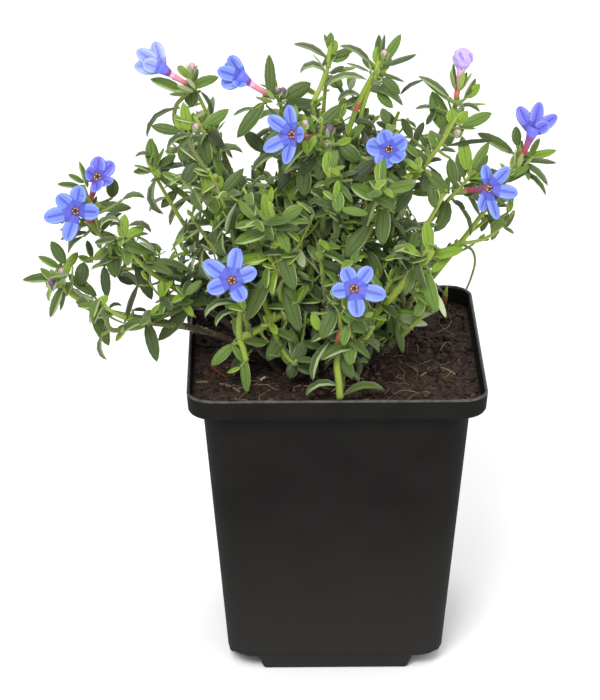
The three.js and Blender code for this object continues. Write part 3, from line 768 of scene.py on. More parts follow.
def bent_tube(
    piece: JoinedPiece,
    centres: Sequence[Vector],
    radii: Sequence[float],
    sides: int,
    side: Vector,
    slots: Sequence[int],
) -> None:
    """Adds a tube bent along a line of points.

    Args:
        piece: The piece that the tube joins.
        centres: The points that it follows.
        radii: Its radius at each of them.
        sides: The number of its sides.
        side: The vector that steadies its turn.
        slots: The material slot of each stretch between two points.
    """
    steps = len(centres) - 1
    if (sides, steps) not in TUBES:
        TUBES[sides, steps] = tube_pattern(sides, steps)
    pattern = TUBES[sides, steps]
    rings = np.rint(pattern.points[:, 2]).astype(int)
    line = np.array([c[:] for c in centres])
    along = np.gradient(line, axis=0)
    along /= np.linalg.norm(along, axis=1)[:, None]
    steady = np.array(side[:])
    across = steady - (along @ steady)[:, None] * along
    across /= np.maximum(np.linalg.norm(across, axis=1), 1e-6)[:, None]
    third = np.cross(along, across)
    wide = np.asarray(radii, float)[rings][:, None]
    out = pattern.points[:, :1] * across[rings] + pattern.points[:, 1:2] * third[rings]
    piece.add(line[rings] + out * wide, pattern.faces, np.asarray(slots)[pattern.parts])


def domed(centres: Sequence[Vector], radii: Sequence[float]) -> tuple[list[Vector], list[float]]:
    """Returns a stem's points and radii with two more of each that round its end."""
    tip, radius = centres[-1], radii[-1]
    out = (tip - centres[-2]).normalized() * radius
    return [*centres, tip + out * 0.45, tip + out * 0.75], [*radii, radius * 0.8, radius * 0.35]


# Finishes.


def linear(hex_colour: str) -> tuple[float, float, float, float]:
    """Returns an sRGB hex colour as linear red, green, blue and alpha."""
    values = [int(hex_colour[i : i + 2], 16) / 255 for i in (1, 3, 5)]
    red, green, blue = (v / 12.92 if v <= 0.04045 else ((v + 0.055) / 1.055) ** 2.4 for v in values)
    return red, green, blue, 1.0


def add_node(
    tree: bpy.types.NodeTree,
    kind: str,
    settings: dict[str, object] | None = None,
    inputs: dict[str | int, object] | None = None,
) -> bpy.types.Node:
    """Adds a node with its settings and its inputs' values or links.

    Args:
        tree: The node tree.
        kind: The node's type name.
        settings: Properties to set on the node.
        inputs: Values, or output sockets to link, by input name or number.

    Returns:
        The new node.
    """
    node = tree.nodes.new(kind)
    for key, value in (settings or {}).items():
        setattr(node, key, value)
    for key, value in (inputs or {}).items():
        if isinstance(value, bpy.types.NodeSocket):
            tree.links.new(value, node.inputs[key])
        else:
            node.inputs[key].default_value = value
    return node


def blank_material(
    name: str,
) -> tuple[bpy.types.Material, bpy.types.NodeTree, bpy.types.NodeSocket]:
    """Returns a new material, its empty node tree and the Object coordinates in it."""
    made = bpy.data.materials.new(name)
    made.use_nodes = True
    tree = made.node_tree
    tree.nodes.clear()
    return made, tree, add_node(tree, "ShaderNodeTexCoord").outputs["Object"]


@dataclass(frozen=True)
class PlantSkin:
    """A hairy plant surface: a plain colour, with a fine bump for its hairs."""

    name: str
    colour: str
    roughness: float = 0.5
    sheen: float = 0.0
    scatter: float = 0.0
    specular: float = 0.3
    grain: float = 0.45
    relief: float = 0.05

    def material(self) -> bpy.types.Material:
        """Returns the finish as a material. Its colour is plain, and its hairs are bump."""
        made, tree, place = blank_material(self.name)
        scale, relief = 1 / (self.grain * MM), self.relief * MM
        hairs = {"Vector": place, "Scale": scale, "Detail": 2.0}
        pattern = add_node(tree, "ShaderNodeTexNoise", inputs=hairs).outputs["Fac"]
        height = {"Height": pattern, "Strength": 0.6, "Distance": relief}
        bump = add_node(tree, "ShaderNodeBump", inputs=height)
        skin = add_node(
            tree,
            "ShaderNodeBsdfPrincipled",
            inputs={
                "Base Color": linear(self.colour),
                "Roughness": self.roughness,
                "Specular IOR Level": self.specular,
                "Sheen Weight": self.sheen,
                "Sheen Roughness": 0.5,
                "Sheen Tint": linear("#eef2e0"),
                "Normal": bump.outputs["Normal"],
            },
        )
        if self.scatter:
            skin.inputs["Subsurface Weight"].default_value = self.scatter
            skin.inputs["Subsurface Radius"].default_value = (0.6, 1.0, 0.3)
            skin.inputs["Subsurface Scale"].default_value = 0.6 * MM
        add_node(tree, "ShaderNodeOutputMaterial", inputs={"Surface": skin.outputs["BSDF"]})
        return made


@dataclass(frozen=True)
class Mottled:
    """A surface whose colour wanders between two, with grain in its bump and roughness."""

    name: str
    light: str
    dark: str
    patch: float
    grain: float
    relief: float
    roughness: tuple[float, float]
    stretch: tuple[float, float, float] = (1.0, 1.0, 1.0)
    specular: float = 0.5
    # A lighter colour that the surface blends to towards its foot, up to a height: a painted
    # reflection of the floor.
    foot: str | None = None
    floor_reflection_top: float = 60.0

    def material(self) -> bpy.types.Material:
        """Returns the finish as a material on Object coordinates."""
        made, tree, place = blank_material(self.name)
        stretched = {"Vector": place, "Scale": self.stretch}
        turned = add_node(tree, "ShaderNodeMapping", inputs=stretched).outputs[0]
        patches, fine = (
            add_node(
                tree,
                "ShaderNodeTexNoise",
                inputs={"Vector": turned, "Scale": 1 / (size * MM), "Detail": detail},
            ).outputs["Fac"]
            for size, detail in ((self.patch, 4.0), (self.grain, 3.0))
        )
        tone = add_node(tree, "ShaderNodeValToRGB", inputs={"Fac": patches})
        stops = ((0.3, self.dark), (0.7, self.light))
        for element, (at, hex_colour) in zip(tone.color_ramp.elements, stops):
            element.position, element.color = at, linear(hex_colour)
        colour = tone.outputs["Color"]
        # Towards the foot the colour blends to a lighter one: a painted reflection of the floor.
        if self.foot:
            parts = add_node(tree, "ShaderNodeSeparateXYZ", inputs={0: place})
            span = {"Value": parts.outputs["Z"], "From Min": self.floor_reflection_top * MM, "From Max": 0.0}
            low = add_node(tree, "ShaderNodeMapRange", inputs=span)
            blend = {0: low.outputs["Result"], 6: colour, 7: linear(self.foot)}
            colour = add_node(tree, "ShaderNodeMix", {"data_type": "RGBA"}, blend).outputs[2]
        lowest, highest = self.roughness
        gloss = {"Value": fine, "To Min": lowest, "To Max": highest}
        rough = add_node(tree, "ShaderNodeMapRange", inputs=gloss)
        relief = {"Height": fine, "Strength": 0.7, "Distance": self.relief * MM}
        bump = add_node(tree, "ShaderNodeBump", inputs=relief)
        skin = add_node(
            tree,
            "ShaderNodeBsdfPrincipled",
            inputs={
                "Base Color": colour,
                "Roughness": rough.outputs["Result"],
                "Specular IOR Level": self.specular,
                "Normal": bump.outputs["Normal"],
            },
        )
        add_node(tree, "ShaderNodeOutputMaterial", inputs={"Surface": skin.outputs["BSDF"]})
        return made


# The leaves.


class LeafPart(Enum):
    """The parts of a leaf that differ in colour."""

    BLADE = 0
    RIB = 1
    MARGIN = 2
    UNDERSIDE = 3


class LeafTint(Enum):
    """How old and how lit a spray's leaves are: each has its own plain colours."""

    YOUNG = 0
    FRESH = 1
    MID = 2
    DEEP = 3
    SHADE = 4


# Leaf skin under short silvery hairs: dull green, with a pale sheen at a low angle. The margin
# and the underside look grey-green, because the hairs stand thicker there. The rib is darker
# than the blade: painted shade in its sunken groove.
LEAF_COLOURS: dict[LeafTint, tuple[str, str, str, str]] = {
    LeafTint.YOUNG: ("#6d8a1c", "#587214", "#a0b062", "#87994a"),
    LeafTint.FRESH: ("#547021", "#405818", "#90a068", "#9aa87e"),
    LeafTint.MID: ("#465b1f", "#344716", "#829462", "#909c78"),
    LeafTint.DEEP: ("#394b1c", "#2a3a13", "#6e7d52", "#808c6a"),
    LeafTint.SHADE: ("#2a3516", "#1f290f", "#4a5634", "#5f684e"),
}


class StemTint(Enum):
    """How a stem's skin ripens from lime at its tip to brown at its foot."""

    LIME = 0
    GREEN = 1
    OLIVE = 2
    BROWN = 3
    RUSSET = 4


# Soft young bark over sap: a faint gloss, bright lime where it is new and brown where it ripens.
STEM_COLOURS: dict[StemTint, str] = {
    StemTint.LIME: "#86992e",
    StemTint.GREEN: "#6c7e30",
    StemTint.OLIVE: "#5a652c",
    StemTint.BROWN: "#40321f",
    StemTint.RUSSET: "#a8603a",
}


# What the photograph shows of single leaves, twigs and petals, read from it in its pixels.


def pixels(*values: float) -> tuple[tuple[float, float], ...]:
    """Returns pixels from their x and y in turn."""
    return tuple(zip(values[::2], values[1::2]))


class Back(Enum):
    """Where a leaf's upper face looks: the frame's right, its top and the camera."""

    FRONT = (0.0, 0.0, 1.0)
    UP = (0.0, 0.86, 0.5)
    UP_FRONT = (0.0, 0.65, 0.85)
    LEFT = (-0.86, 0.0, 0.5)
    RIGHT = (0.86, 0.0, 0.5)
    UP_LEFT = (-0.62, 0.62, 0.48)
    UP_RIGHT = (0.62, 0.62, 0.48)
    LEFT_FRONT = (-0.7, 0.2, 0.7)
    RIGHT_FRONT = (0.7, 0.2, 0.7)
    AWAY = (0.0, -0.3, -1.0)


@dataclass(frozen=True)
class SeenLeaf:
    """A leaf that the photograph shows: its root and tip, width, curl, face and tint."""

    root: tuple[float, float]
    tip: tuple[float, float]
    width: float
    bend: float
    back: Back
    tint: LeafTint


@dataclass(frozen=True)
class SeenStem:
    """A stretch of stem that the photograph shows, from a rule's shoot on, and its radii."""

    line: tuple[tuple[float, float], ...]
    radii: tuple[float, float]
    tint: StemTint


FRONT, UPWARD, SLANT, LEFT, RIGHT = Back.FRONT, Back.UP, Back.UP_FRONT, Back.LEFT, Back.RIGHT
UP_LEFT, UP_RIGHT, LEFT_FRONT, RIGHT_FRONT, AWAY = (
    Back.UP_LEFT,
    Back.UP_RIGHT,
    Back.LEFT_FRONT,
    Back.RIGHT_FRONT,
    Back.AWAY,
)
YOUNG, FRESH, MID, DEEP, SHADE = LeafTint
LIME, GREEN, OLIVE, BROWN, RUSSET = StemTint

SEEN_STEMS: dict[str, tuple[SeenStem, ...]] = {
    "top": (
        SeenStem(pixels(328, 68, 329, 57, 330, 46), (0.8, 0.6), LIME),
        SeenStem(pixels(326, 72, 321, 86, 314, 100), (0.8, 0.8), LIME),
    ),
    "top_east": (
        SeenStem(pixels(374, 80, 377, 66, 381, 52), (0.8, 0.6), LIME),
        SeenStem(pixels(373, 76, 366, 88, 359, 102), (0.9, 0.9), LIME),
        SeenStem(pixels(359, 102, 355, 112), (0.9, 0.85), RUSSET),
        SeenStem(pixels(355, 112, 350, 126, 344, 138), (0.85, 0.85), GREEN),
    ),
    "top_west": (
        SeenStem(pixels(190, 84, 184, 96, 176, 106, 175, 122, 186, 136, 194, 152, 208, 172),
                 (0.65, 0.7), OLIVE),
        SeenStem(pixels(190, 82, 191, 72, 192, 66), (0.5, 0.45), GREEN),
    ),
    "west_back": (
        SeenStem(pixels(153, 168, 164, 180, 180, 192, 200, 207), (0.9, 1.0), GREEN),
    ),
    "west_low": (
        SeenStem(pixels(56, 280, 66, 276), (0.6, 0.6), GREEN),
        SeenStem(pixels(99, 304, 106, 320, 112, 330, 128, 328, 146, 322, 168, 314, 186, 306),
                 (0.6, 1.0), OLIVE),
    ),
    "west": (
        SeenStem(pixels(93, 224, 90, 205, 84, 186), (0.6, 0.5), GREEN),
        SeenStem(pixels(112, 248, 100, 258, 90, 258), (0.6, 0.5), GREEN),
    ),
    "east_far": (
        SeenStem(pixels(459, 243, 472, 242, 486, 238, 500, 228, 514, 211), (0.6, 0.4), LIME),
        SeenStem(pixels(461, 244, 472, 250, 475, 262, 471, 278, 466, 290), (0.45, 0.3), OLIVE),
        SeenStem(pixels(432, 262, 446, 252, 460, 243), (1.1, 1.0), LIME),
    ),
    "east_front": (
        SeenStem(pixels(432, 252, 424, 263, 412, 272, 400, 288, 386, 303, 372, 317), (0.8, 1.1),
                 LIME),
    ),
    "centre": (
        SeenStem(pixels(318, 238, 314, 254, 311, 266, 309, 284), (1.1, 1.2), GREEN),
    ),
    "centre_east": (
        SeenStem(pixels(381, 206, 373, 222, 366, 238, 356, 250, 343, 264), (0.8, 0.8), LIME),
    ),
    "front_west": (
        SeenStem(pixels(276, 318, 266, 325, 254, 332, 242, 337), (1.1, 1.1), LIME),
        SeenStem(pixels(272, 323, 268, 312, 264, 300), (1.1, 0.9), LIME),
        SeenStem(pixels(274, 244, 277, 256, 279, 272, 280, 288, 284, 304, 287, 320), (1.1, 1.2),
                 LIME),
    ),
    "mid_west": (
        SeenStem(pixels(215, 176, 220, 186, 226, 198, 232, 212), (0.8, 0.9), LIME),
    ),
    "front_left": (
        SeenStem(pixels(250, 332, 240, 338, 243, 348, 246, 360), (1.0, 0.9), LIME),
        SeenStem(pixels(240, 340, 239, 322, 241, 306), (0.9, 0.8), LIME),
    ),
    "front": (
        SeenStem(pixels(342, 328, 338, 340, 337, 352), (0.9, 1.0), RUSSET),
        SeenStem(pixels(337, 352, 337, 368, 339, 382, 340, 397), (1.0, 1.15), LIME),
    ),
    "front_low_left": (
        SeenStem(pixels(282, 348, 288, 358, 295, 364), (0.6, 0.5), LIME),
    ),
}

# The rows of SEEN_LEAVES: root x, y, tip x, y, width, bend, face and tint.
LeafRow = tuple[int, int, int, int, float, int, Back, LeafTint]

SEEN_LEAVES: dict[str, tuple[LeafRow, ...]] = {
    "west_low": (
        (62, 276, 22, 280, 3.6, 20, SLANT, MID), (60, 268, 38, 256, 2.9, 20, SLANT, FRESH),
        (65, 264, 51, 241, 3.8, 16, FRONT, MID), (66, 268, 78, 252, 2.7, 10, FRONT, YOUNG),
        (68, 275, 97, 296, 4.0, 26, SLANT, MID), (62, 286, 50, 318, 3.8, 30, LEFT_FRONT, MID),
        (65, 286, 60, 311, 2.5, 14, LEFT, DEEP), (64, 276, 70, 262, 2.3, 8, FRONT, YOUNG),
        (98, 305, 77, 306, 2.7, 30, SLANT, FRESH), (98, 304, 108, 296, 2.7, 16, FRONT, YOUNG),
        (92, 308, 109, 346, 4.3, 16, FRONT, MID), (102, 335, 107, 360, 2.7, 106, LEFT, DEEP),
        (108, 310, 122, 306, 1.9, 140, UPWARD, SHADE), (125, 322, 138, 284, 2.7, 24, LEFT, SHADE),
        (133, 310, 147, 311, 2.3, 72, UPWARD, SHADE), (147, 321, 157, 362, 4.0, 16, FRONT, DEEP),
        (188, 309, 158, 341, 4.1, 22, FRONT, DEEP),
    ),
    "west": (
        (88, 188, 79, 161, 2.7, 24, RIGHT, FRESH), (84, 183, 68, 174, 2.2, 24, SLANT, FRESH),
        (80, 186, 57, 184, 2.3, 26, SLANT, MID), (93, 206, 132, 208, 4.1, 20, SLANT, MID),
        (122, 200, 145, 198, 3.2, 114, UPWARD, MID), (112, 198, 113, 178, 4.0, 16, FRONT, MID),
        (94, 228, 96, 216, 2.2, 10, FRONT, FRESH), (88, 232, 60, 240, 2.7, 58, UPWARD, DEEP),
        (84, 236, 68, 254, 2.1, 96, UP_LEFT, DEEP), (98, 236, 88, 222, 2.5, 12, FRONT, FRESH),
        (121, 222, 101, 228, 2.7, 160, UPWARD, MID), (121, 226, 110, 228, 2.1, 160, UPWARD, SHADE),
        (121, 238, 125, 214, 3.6, 10, FRONT, YOUNG), (128, 226, 151, 233, 2.7, 140, UPWARD, DEEP),
        (124, 236, 144, 228, 3.1, 18, FRONT, YOUNG), (130, 238, 149, 234, 2.1, 62, UPWARD, MID),
        (120, 242, 149, 253, 4.3, 30, SLANT, MID), (117, 238, 94, 243, 4.0, 30, UPWARD, DEEP),
        (92, 258, 87, 240, 2.9, 26, RIGHT_FRONT, DEEP), (93, 260, 109, 248, 2.7, 16, FRONT, YOUNG),
        (92, 262, 78, 256, 2.7, 30, SLANT, FRESH), (84, 262, 80, 286, 4.5, 20, FRONT, DEEP),
        (104, 266, 107, 298, 3.2, 14, FRONT, DEEP), (112, 248, 115, 278, 4.7, 18, FRONT, MID),
        (118, 277, 134, 284, 4.4, 24, UPWARD, SHADE), (136, 262, 152, 300, 4.3, 20, FRONT, DEEP),
        (126, 250, 128, 266, 3.2, 16, FRONT, FRESH),
    ),
    "west_back": (
        (154, 172, 150, 138, 4.4, 12, FRONT, FRESH), (158, 166, 176, 155, 3.4, 24, SLANT, MID),
        (164, 176, 150, 182, 2.0, 40, UPWARD, DEEP), (153, 170, 133, 172, 3.1, 24, SLANT, MID),
        (152, 156, 135, 157, 2.3, 106, UPWARD, DEEP), (157, 178, 164, 214, 3.6, 132, LEFT, DEEP),
        (177, 190, 161, 208, 3.2, 22, FRONT, MID), (160, 168, 186, 164, 3.6, 24, UPWARD, DEEP),
        (162, 176, 174, 150, 3.1, 20, FRONT, FRESH), (188, 198, 170, 226, 3.6, 96, UP_LEFT, DEEP),
    ),
    "top_west": (
        (184, 92, 150, 79, 4.0, 54, SLANT, FRESH), (190, 88, 219, 77, 4.0, 40, SLANT, FRESH),
        (192, 88, 191, 107, 4.7, 14, FRONT, MID), (200, 91, 211, 118, 1.9, 92, UP_RIGHT, DEEP),
        (179, 108, 147, 138, 1.7, 116, UP_LEFT, SHADE),
        (189, 132, 183, 102, 3.4, 12, FRONT, YOUNG), (184, 132, 175, 114, 2.7, 12, FRONT, YOUNG),
        (180, 132, 151, 126, 3.4, 14, FRONT, MID), (202, 128, 229, 109, 3.6, 16, FRONT, FRESH),
        (190, 136, 181, 162, 4.7, 20, FRONT, MID), (202, 136, 208, 166, 4.5, 20, FRONT, MID),
        (212, 158, 243, 153, 3.6, 136, UPWARD, MID), (206, 132, 224, 146, 4.0, 24, SLANT, SHADE),
        (192, 135, 167, 150, 3.0, 118, UPWARD, DEEP), (197, 162, 182, 186, 4.5, 18, FRONT, DEEP),
        (196, 134, 193, 112, 2.9, 14, FRONT, FRESH),
        (212, 150, 222, 178, 3.1, 20, RIGHT_FRONT, FRESH),
    ),
    "mid_west": (
        (210, 190, 204, 168, 4.0, 12, FRONT, YOUNG), (206, 190, 187, 184, 3.6, 62, UPWARD, MID),
        (214, 192, 222, 176, 3.1, 14, FRONT, YOUNG), (220, 196, 244, 168, 3.2, 20, FRONT, MID),
        (212, 196, 216, 214, 3.6, 20, FRONT, FRESH),
    ),
    "top_northwest": (
        (271, 98, 269, 54, 3.5, 8, FRONT, MID), (264, 102, 237, 138, 4.3, 26, FRONT, MID),
        (256, 108, 233, 116, 1.9, 72, UPWARD, DEEP), (284, 102, 322, 104, 4.5, 10, SLANT, DEEP),
        (284, 98, 311, 83, 4.9, 16, FRONT, MID), (266, 152, 244, 131, 4.3, 14, FRONT, DEEP),
        (278, 153, 252, 172, 4.4, 96, UP_LEFT, MID), (252, 166, 269, 206, 2.5, 72, LEFT, SHADE),
    ),
    "top": (
        (327, 58, 293, 44, 3.4, 62, UPWARD, DEEP), (329, 50, 331, 32, 2.7, 8, FRONT, FRESH),
        (329, 50, 324, 34, 1.9, 10, LEFT, FRESH), (331, 54, 336, 40, 2.9, 10, FRONT, YOUNG),
        (330, 60, 350, 53, 4.5, 30, SLANT, FRESH), (332, 56, 355, 49, 2.9, 30, SLANT, MID),
        (327, 74, 300, 74, 3.8, 164, UPWARD, MID), (330, 74, 344, 66, 3.2, 30, UPWARD, DEEP),
        (328, 78, 343, 86, 3.8, 30, FRONT, FRESH), (332, 76, 345, 97, 2.6, 30, UP_RIGHT, DEEP),
        (336, 54, 322, 66, 3.0, 30, LEFT_FRONT, MID),
    ),
    "top_east": (
        (376, 66, 379, 34, 3.1, 10, LEFT_FRONT, MID), (381, 62, 385, 34, 2.1, 8, RIGHT, DEEP),
        (384, 62, 401, 34, 3.1, 12, FRONT, FRESH), (382, 66, 417, 54, 2.9, 16, UPWARD, DEEP),
        (379, 66, 377, 46, 3.6, 10, FRONT, YOUNG), (382, 64, 388, 48, 3.1, 10, FRONT, YOUNG),
        (372, 66, 339, 46, 2.9, 96, UPWARD, DEEP), (367, 80, 325, 88, 3.2, 116, UPWARD, MID),
        (368, 88, 403, 106, 4.2, 92, UP_RIGHT, MID), (370, 72, 346, 63, 1.5, 24, UPWARD, MID),
        (375, 72, 405, 82, 1.7, 20, UPWARD, MID), (382, 78, 400, 94, 3.8, 24, FRONT, MID),
        (377, 92, 393, 108, 3.0, 16, FRONT, FRESH), (396, 126, 384, 110, 2.6, 16, FRONT, MID),
        (392, 130, 376, 122, 2.6, 40, SLANT, DEEP), (361, 96, 338, 102, 3.4, 154, UPWARD, DEEP),
        (356, 104, 338, 110, 2.2, 60, UPWARD, MID), (350, 124, 330, 136, 4.0, 24, UPWARD, DEEP),
        (352, 122, 376, 130, 2.5, 106, UPWARD, DEEP), (356, 122, 369, 108, 3.1, 14, FRONT, MID),
        (344, 106, 362, 98, 3.8, 30, SLANT, FRESH), (376, 70, 362, 58, 2.6, 30, LEFT_FRONT, FRESH),
        (380, 84, 392, 96, 2.2, 60, UPWARD, MID),
    ),
    "centre": (
        (314, 132, 342, 104, 4.0, 16, FRONT, MID), (312, 140, 309, 116, 2.7, 12, FRONT, FRESH),
        (334, 144, 322, 130, 2.9, 12, FRONT, YOUNG), (336, 144, 352, 138, 3.1, 16, SLANT, YOUNG),
        (340, 144, 360, 161, 4.5, 20, FRONT, MID), (328, 142, 318, 182, 4.9, 16, FRONT, MID),
        (318, 144, 302, 176, 4.7, 20, FRONT, DEEP), (331, 178, 328, 150, 4.4, 14, FRONT, YOUNG),
        (331, 181, 353, 204, 3.4, 68, UP_RIGHT, FRESH),
        (328, 181, 313, 187, 3.0, 30, UPWARD, FRESH), (321, 188, 310, 192, 2.2, 30, UPWARD, YOUNG),
        (338, 190, 338, 213, 3.8, 14, FRONT, FRESH), (322, 196, 326, 238, 4.4, 14, FRONT, DEEP),
        (312, 198, 318, 222, 3.8, 14, FRONT, SHADE), (304, 164, 304, 197, 4.6, 12, FRONT, MID),
        (283, 180, 298, 201, 3.2, 14, FRONT, YOUNG), (290, 172, 278, 190, 3.4, 24, FRONT, SHADE),
        (342, 176, 357, 172, 3.2, 40, UPWARD, DEEP), (352, 180, 374, 160, 4.2, 16, FRONT, SHADE),
        (318, 240, 310, 222, 3.2, 16, FRONT, SHADE), (312, 262, 330, 270, 3.6, 20, FRONT, DEEP),
        (311, 250, 318, 238, 2.6, 12, FRONT, FRESH), (304, 282, 322, 300, 4.4, 20, FRONT, DEEP),
        (300, 296, 318, 314, 4.4, 20, FRONT, SHADE), (302, 342, 322, 347, 3.4, 24, SLANT, DEEP),
    ),
    "centre_east": (
        (384, 190, 377, 163, 3.4, 12, FRONT, YOUNG), (386, 190, 416, 184, 4.5, 34, SLANT, FRESH),
        (377, 199, 350, 184, 5.0, 30, SLANT, FRESH), (369, 225, 344, 258, 4.6, 20, FRONT, MID),
        (362, 223, 340, 219, 2.4, 130, UPWARD, DEEP),
        (390, 221, 405, 238, 2.4, 90, UP_RIGHT, DEEP), (366, 250, 381, 279, 4.2, 20, FRONT, MID),
        (350, 244, 372, 250, 2.2, 60, UPWARD, SHADE), (330, 262, 318, 276, 3.4, 20, FRONT, SHADE),
        (394, 212, 413, 189, 3.6, 14, FRONT, DEEP), (384, 204, 382, 246, 4.7, 14, FRONT, MID),
        (392, 150, 404, 182, 4.5, 24, FRONT, SHADE), (388, 124, 382, 108, 3.1, 14, FRONT, MID),
    ),
    "east_upper": (
        (450, 98, 418, 76, 3.2, 58, UPWARD, MID), (424, 80, 400, 95, 1.9, 62, UP_LEFT, SHADE),
        (464, 100, 476, 78, 2.2, 20, RIGHT_FRONT, MID), (466, 98, 480, 84, 3.1, 14, FRONT, YOUNG),
        (462, 104, 480, 112, 2.5, 96, UPWARD, DEEP), (446, 132, 432, 91, 5.6, 12, FRONT, FRESH),
        (436, 108, 415, 109, 2.3, 62, UPWARD, DEEP),
        (436, 110, 426, 125, 2.7, 20, LEFT_FRONT, DEEP),
        (462, 126, 492, 113, 3.8, 16, FRONT, FRESH), (456, 124, 468, 111, 3.2, 12, FRONT, YOUNG),
        (452, 124, 452, 108, 3.4, 12, FRONT, YOUNG), (450, 122, 444, 148, 5.4, 14, FRONT, MID),
        (438, 148, 430, 130, 3.4, 16, FRONT, FRESH), (446, 146, 496, 140, 1.4, 34, UPWARD, SHADE),
        (450, 158, 455, 186, 3.6, 16, FRONT, MID), (440, 150, 456, 152, 2.6, 60, UPWARD, DEEP),
        (432, 150, 420, 134, 3.0, 20, FRONT, MID), (430, 164, 404, 146, 3.6, 20, FRONT, MID),
        (412, 138, 402, 118, 2.8, 16, FRONT, MID), (414, 140, 424, 122, 2.4, 20, FRONT, DEEP),
        (408, 150, 420, 134, 2.8, 24, SLANT, MID), (409, 156, 398, 140, 2.6, 30, UPWARD, DEEP),
        (430, 162, 442, 160, 2.7, 96, UPWARD, SHADE),
    ),
    "east_far": (
        (514, 154, 477, 133, 3.8, 46, SLANT, MID), (512, 152, 487, 141, 2.7, 58, UPWARD, DEEP),
        (517, 146, 516, 126, 3.1, 12, FRONT, MID), (522, 158, 557, 150, 3.1, 18, SLANT, YOUNG),
        (522, 160, 557, 163, 2.7, 30, UPWARD, DEEP), (521, 162, 548, 186, 3.8, 66, UP_RIGHT, MID),
        (515, 170, 546, 196, 2.3, 100, UP_RIGHT, MID),
        (530, 156, 540, 138, 2.5, 14, RIGHT_FRONT, FRESH),
        (488, 214, 481, 232, 2.4, 20, FRONT, MID), (500, 228, 508, 212, 2.7, 12, FRONT, YOUNG),
        (506, 228, 515, 210, 2.2, 12, RIGHT_FRONT, MID),
        (504, 228, 514, 234, 2.5, 72, UP_RIGHT, FRESH),
    ),
    "east": (
        (468, 172, 462, 136, 4.1, 14, FRONT, YOUNG), (472, 170, 489, 142, 3.1, 14, FRONT, FRESH),
        (476, 172, 488, 155, 2.7, 14, FRONT, MID), (460, 182, 449, 162, 3.2, 14, FRONT, FRESH),
        (464, 178, 458, 152, 3.4, 14, FRONT, MID), (470, 178, 480, 170, 2.9, 12, FRONT, YOUNG),
        (448, 200, 434, 232, 4.9, 92, RIGHT_FRONT, MID),
        (464, 186, 480, 216, 2.6, 34, UP_RIGHT, DEEP),
        (457, 204, 470, 237, 1.9, 84, UP_RIGHT, DEEP),
        (452, 200, 464, 214, 2.4, 120, UPWARD, SHADE), (446, 206, 428, 196, 3.0, 24, FRONT, MID),
    ),
    "east_front": (
        (428, 170, 423, 193, 3.4, 12, FRONT, DEEP), (426, 170, 450, 194, 4.1, 28, SLANT, MID),
        (434, 182, 434, 208, 4.0, 16, FRONT, MID), (430, 252, 426, 220, 3.6, 10, FRONT, YOUNG),
        (432, 256, 464, 249, 4.0, 24, SLANT, YOUNG), (423, 266, 437, 313, 4.4, 12, FRONT, FRESH),
        (431, 272, 449, 258, 2.6, 16, FRONT, YOUNG), (424, 300, 415, 317, 3.0, 14, FRONT, FRESH),
        (437, 294, 446, 318, 1.8, 30, AWAY, FRESH), (424, 230, 402, 236, 4.6, 162, UPWARD, DEEP),
        (428, 256, 408, 262, 4.4, 30, UPWARD, MID),
    ),
    "east_low": (
        (398, 317, 428, 325, 2.9, 24, AWAY, FRESH), (390, 312, 396, 336, 4.0, 20, FRONT, MID),
        (396, 318, 403, 354, 3.2, 20, RIGHT_FRONT, MID), (364, 328, 392, 339, 3.8, 24, SLANT, MID),
        (406, 272, 381, 288, 4.6, 24, FRONT, MID),
    ),
    "front": (
        (338, 386, 306, 397, 3.0, 150, UPWARD, MID), (343, 396, 385, 391, 3.2, 120, UPWARD, MID),
        (331, 340, 313, 382, 3.2, 92, UP_LEFT, MID), (335, 310, 321, 339, 4.4, 20, FRONT, MID),
        (312, 313, 319, 331, 2.8, 14, FRONT, YOUNG), (347, 325, 343, 346, 3.0, 14, FRONT, FRESH),
        (351, 343, 351, 363, 3.6, 12, FRONT, YOUNG), (340, 352, 353, 379, 3.6, 16, FRONT, MID),
        (348, 340, 351, 366, 3.6, 12, FRONT, FRESH), (346, 346, 354, 330, 3.1, 12, FRONT, YOUNG),
        (359, 339, 379, 353, 3.0, 120, UP_RIGHT, MID),
        (350, 370, 359, 384, 2.1, 96, UP_RIGHT, MID), (336, 330, 328, 306, 4.0, 20, FRONT, DEEP),
        (352, 320, 366, 332, 4.3, 24, FRONT, MID), (355, 362, 368, 363, 2.3, 106, UPWARD, FRESH),
    ),
    "front_west": (
        (272, 232, 264, 192, 4.0, 12, FRONT, YOUNG), (268, 232, 234, 243, 4.5, 44, SLANT, FRESH),
        (282, 218, 303, 206, 3.6, 24, FRONT, FRESH), (283, 224, 311, 223, 3.6, 62, UPWARD, FRESH),
        (279, 246, 295, 291, 4.8, 14, FRONT, MID), (284, 284, 300, 333, 4.5, 14, FRONT, MID),
        (270, 272, 247, 321, 4.5, 16, FRONT, MID), (270, 256, 234, 264, 4.1, 44, SLANT, YOUNG),
        (276, 268, 261, 263, 2.3, 20, SLANT, YOUNG), (288, 326, 267, 361, 5.0, 16, FRONT, MID),
        (292, 255, 301, 237, 3.4, 16, FRONT, YOUNG), (297, 248, 304, 268, 3.0, 20, AWAY, FRESH),
        (268, 342, 252, 345, 2.6, 24, SLANT, FRESH),
    ),
    "front_left": (
        (244, 356, 247, 394, 3.0, 8, FRONT, FRESH), (233, 344, 211, 366, 3.4, 16, FRONT, FRESH),
        (241, 367, 227, 373, 1.6, 20, SLANT, YOUNG), (237, 304, 205, 318, 3.0, 142, UPWARD, MID),
        (237, 311, 216, 327, 2.4, 142, UPWARD, MID),
        (239, 341, 233, 315, 3.2, 16, LEFT_FRONT, FRESH),
        (242, 340, 268, 343, 3.2, 24, SLANT, MID), (232, 344, 244, 363, 2.4, 20, SLANT, FRESH),
    ),
    "front_low_left": (
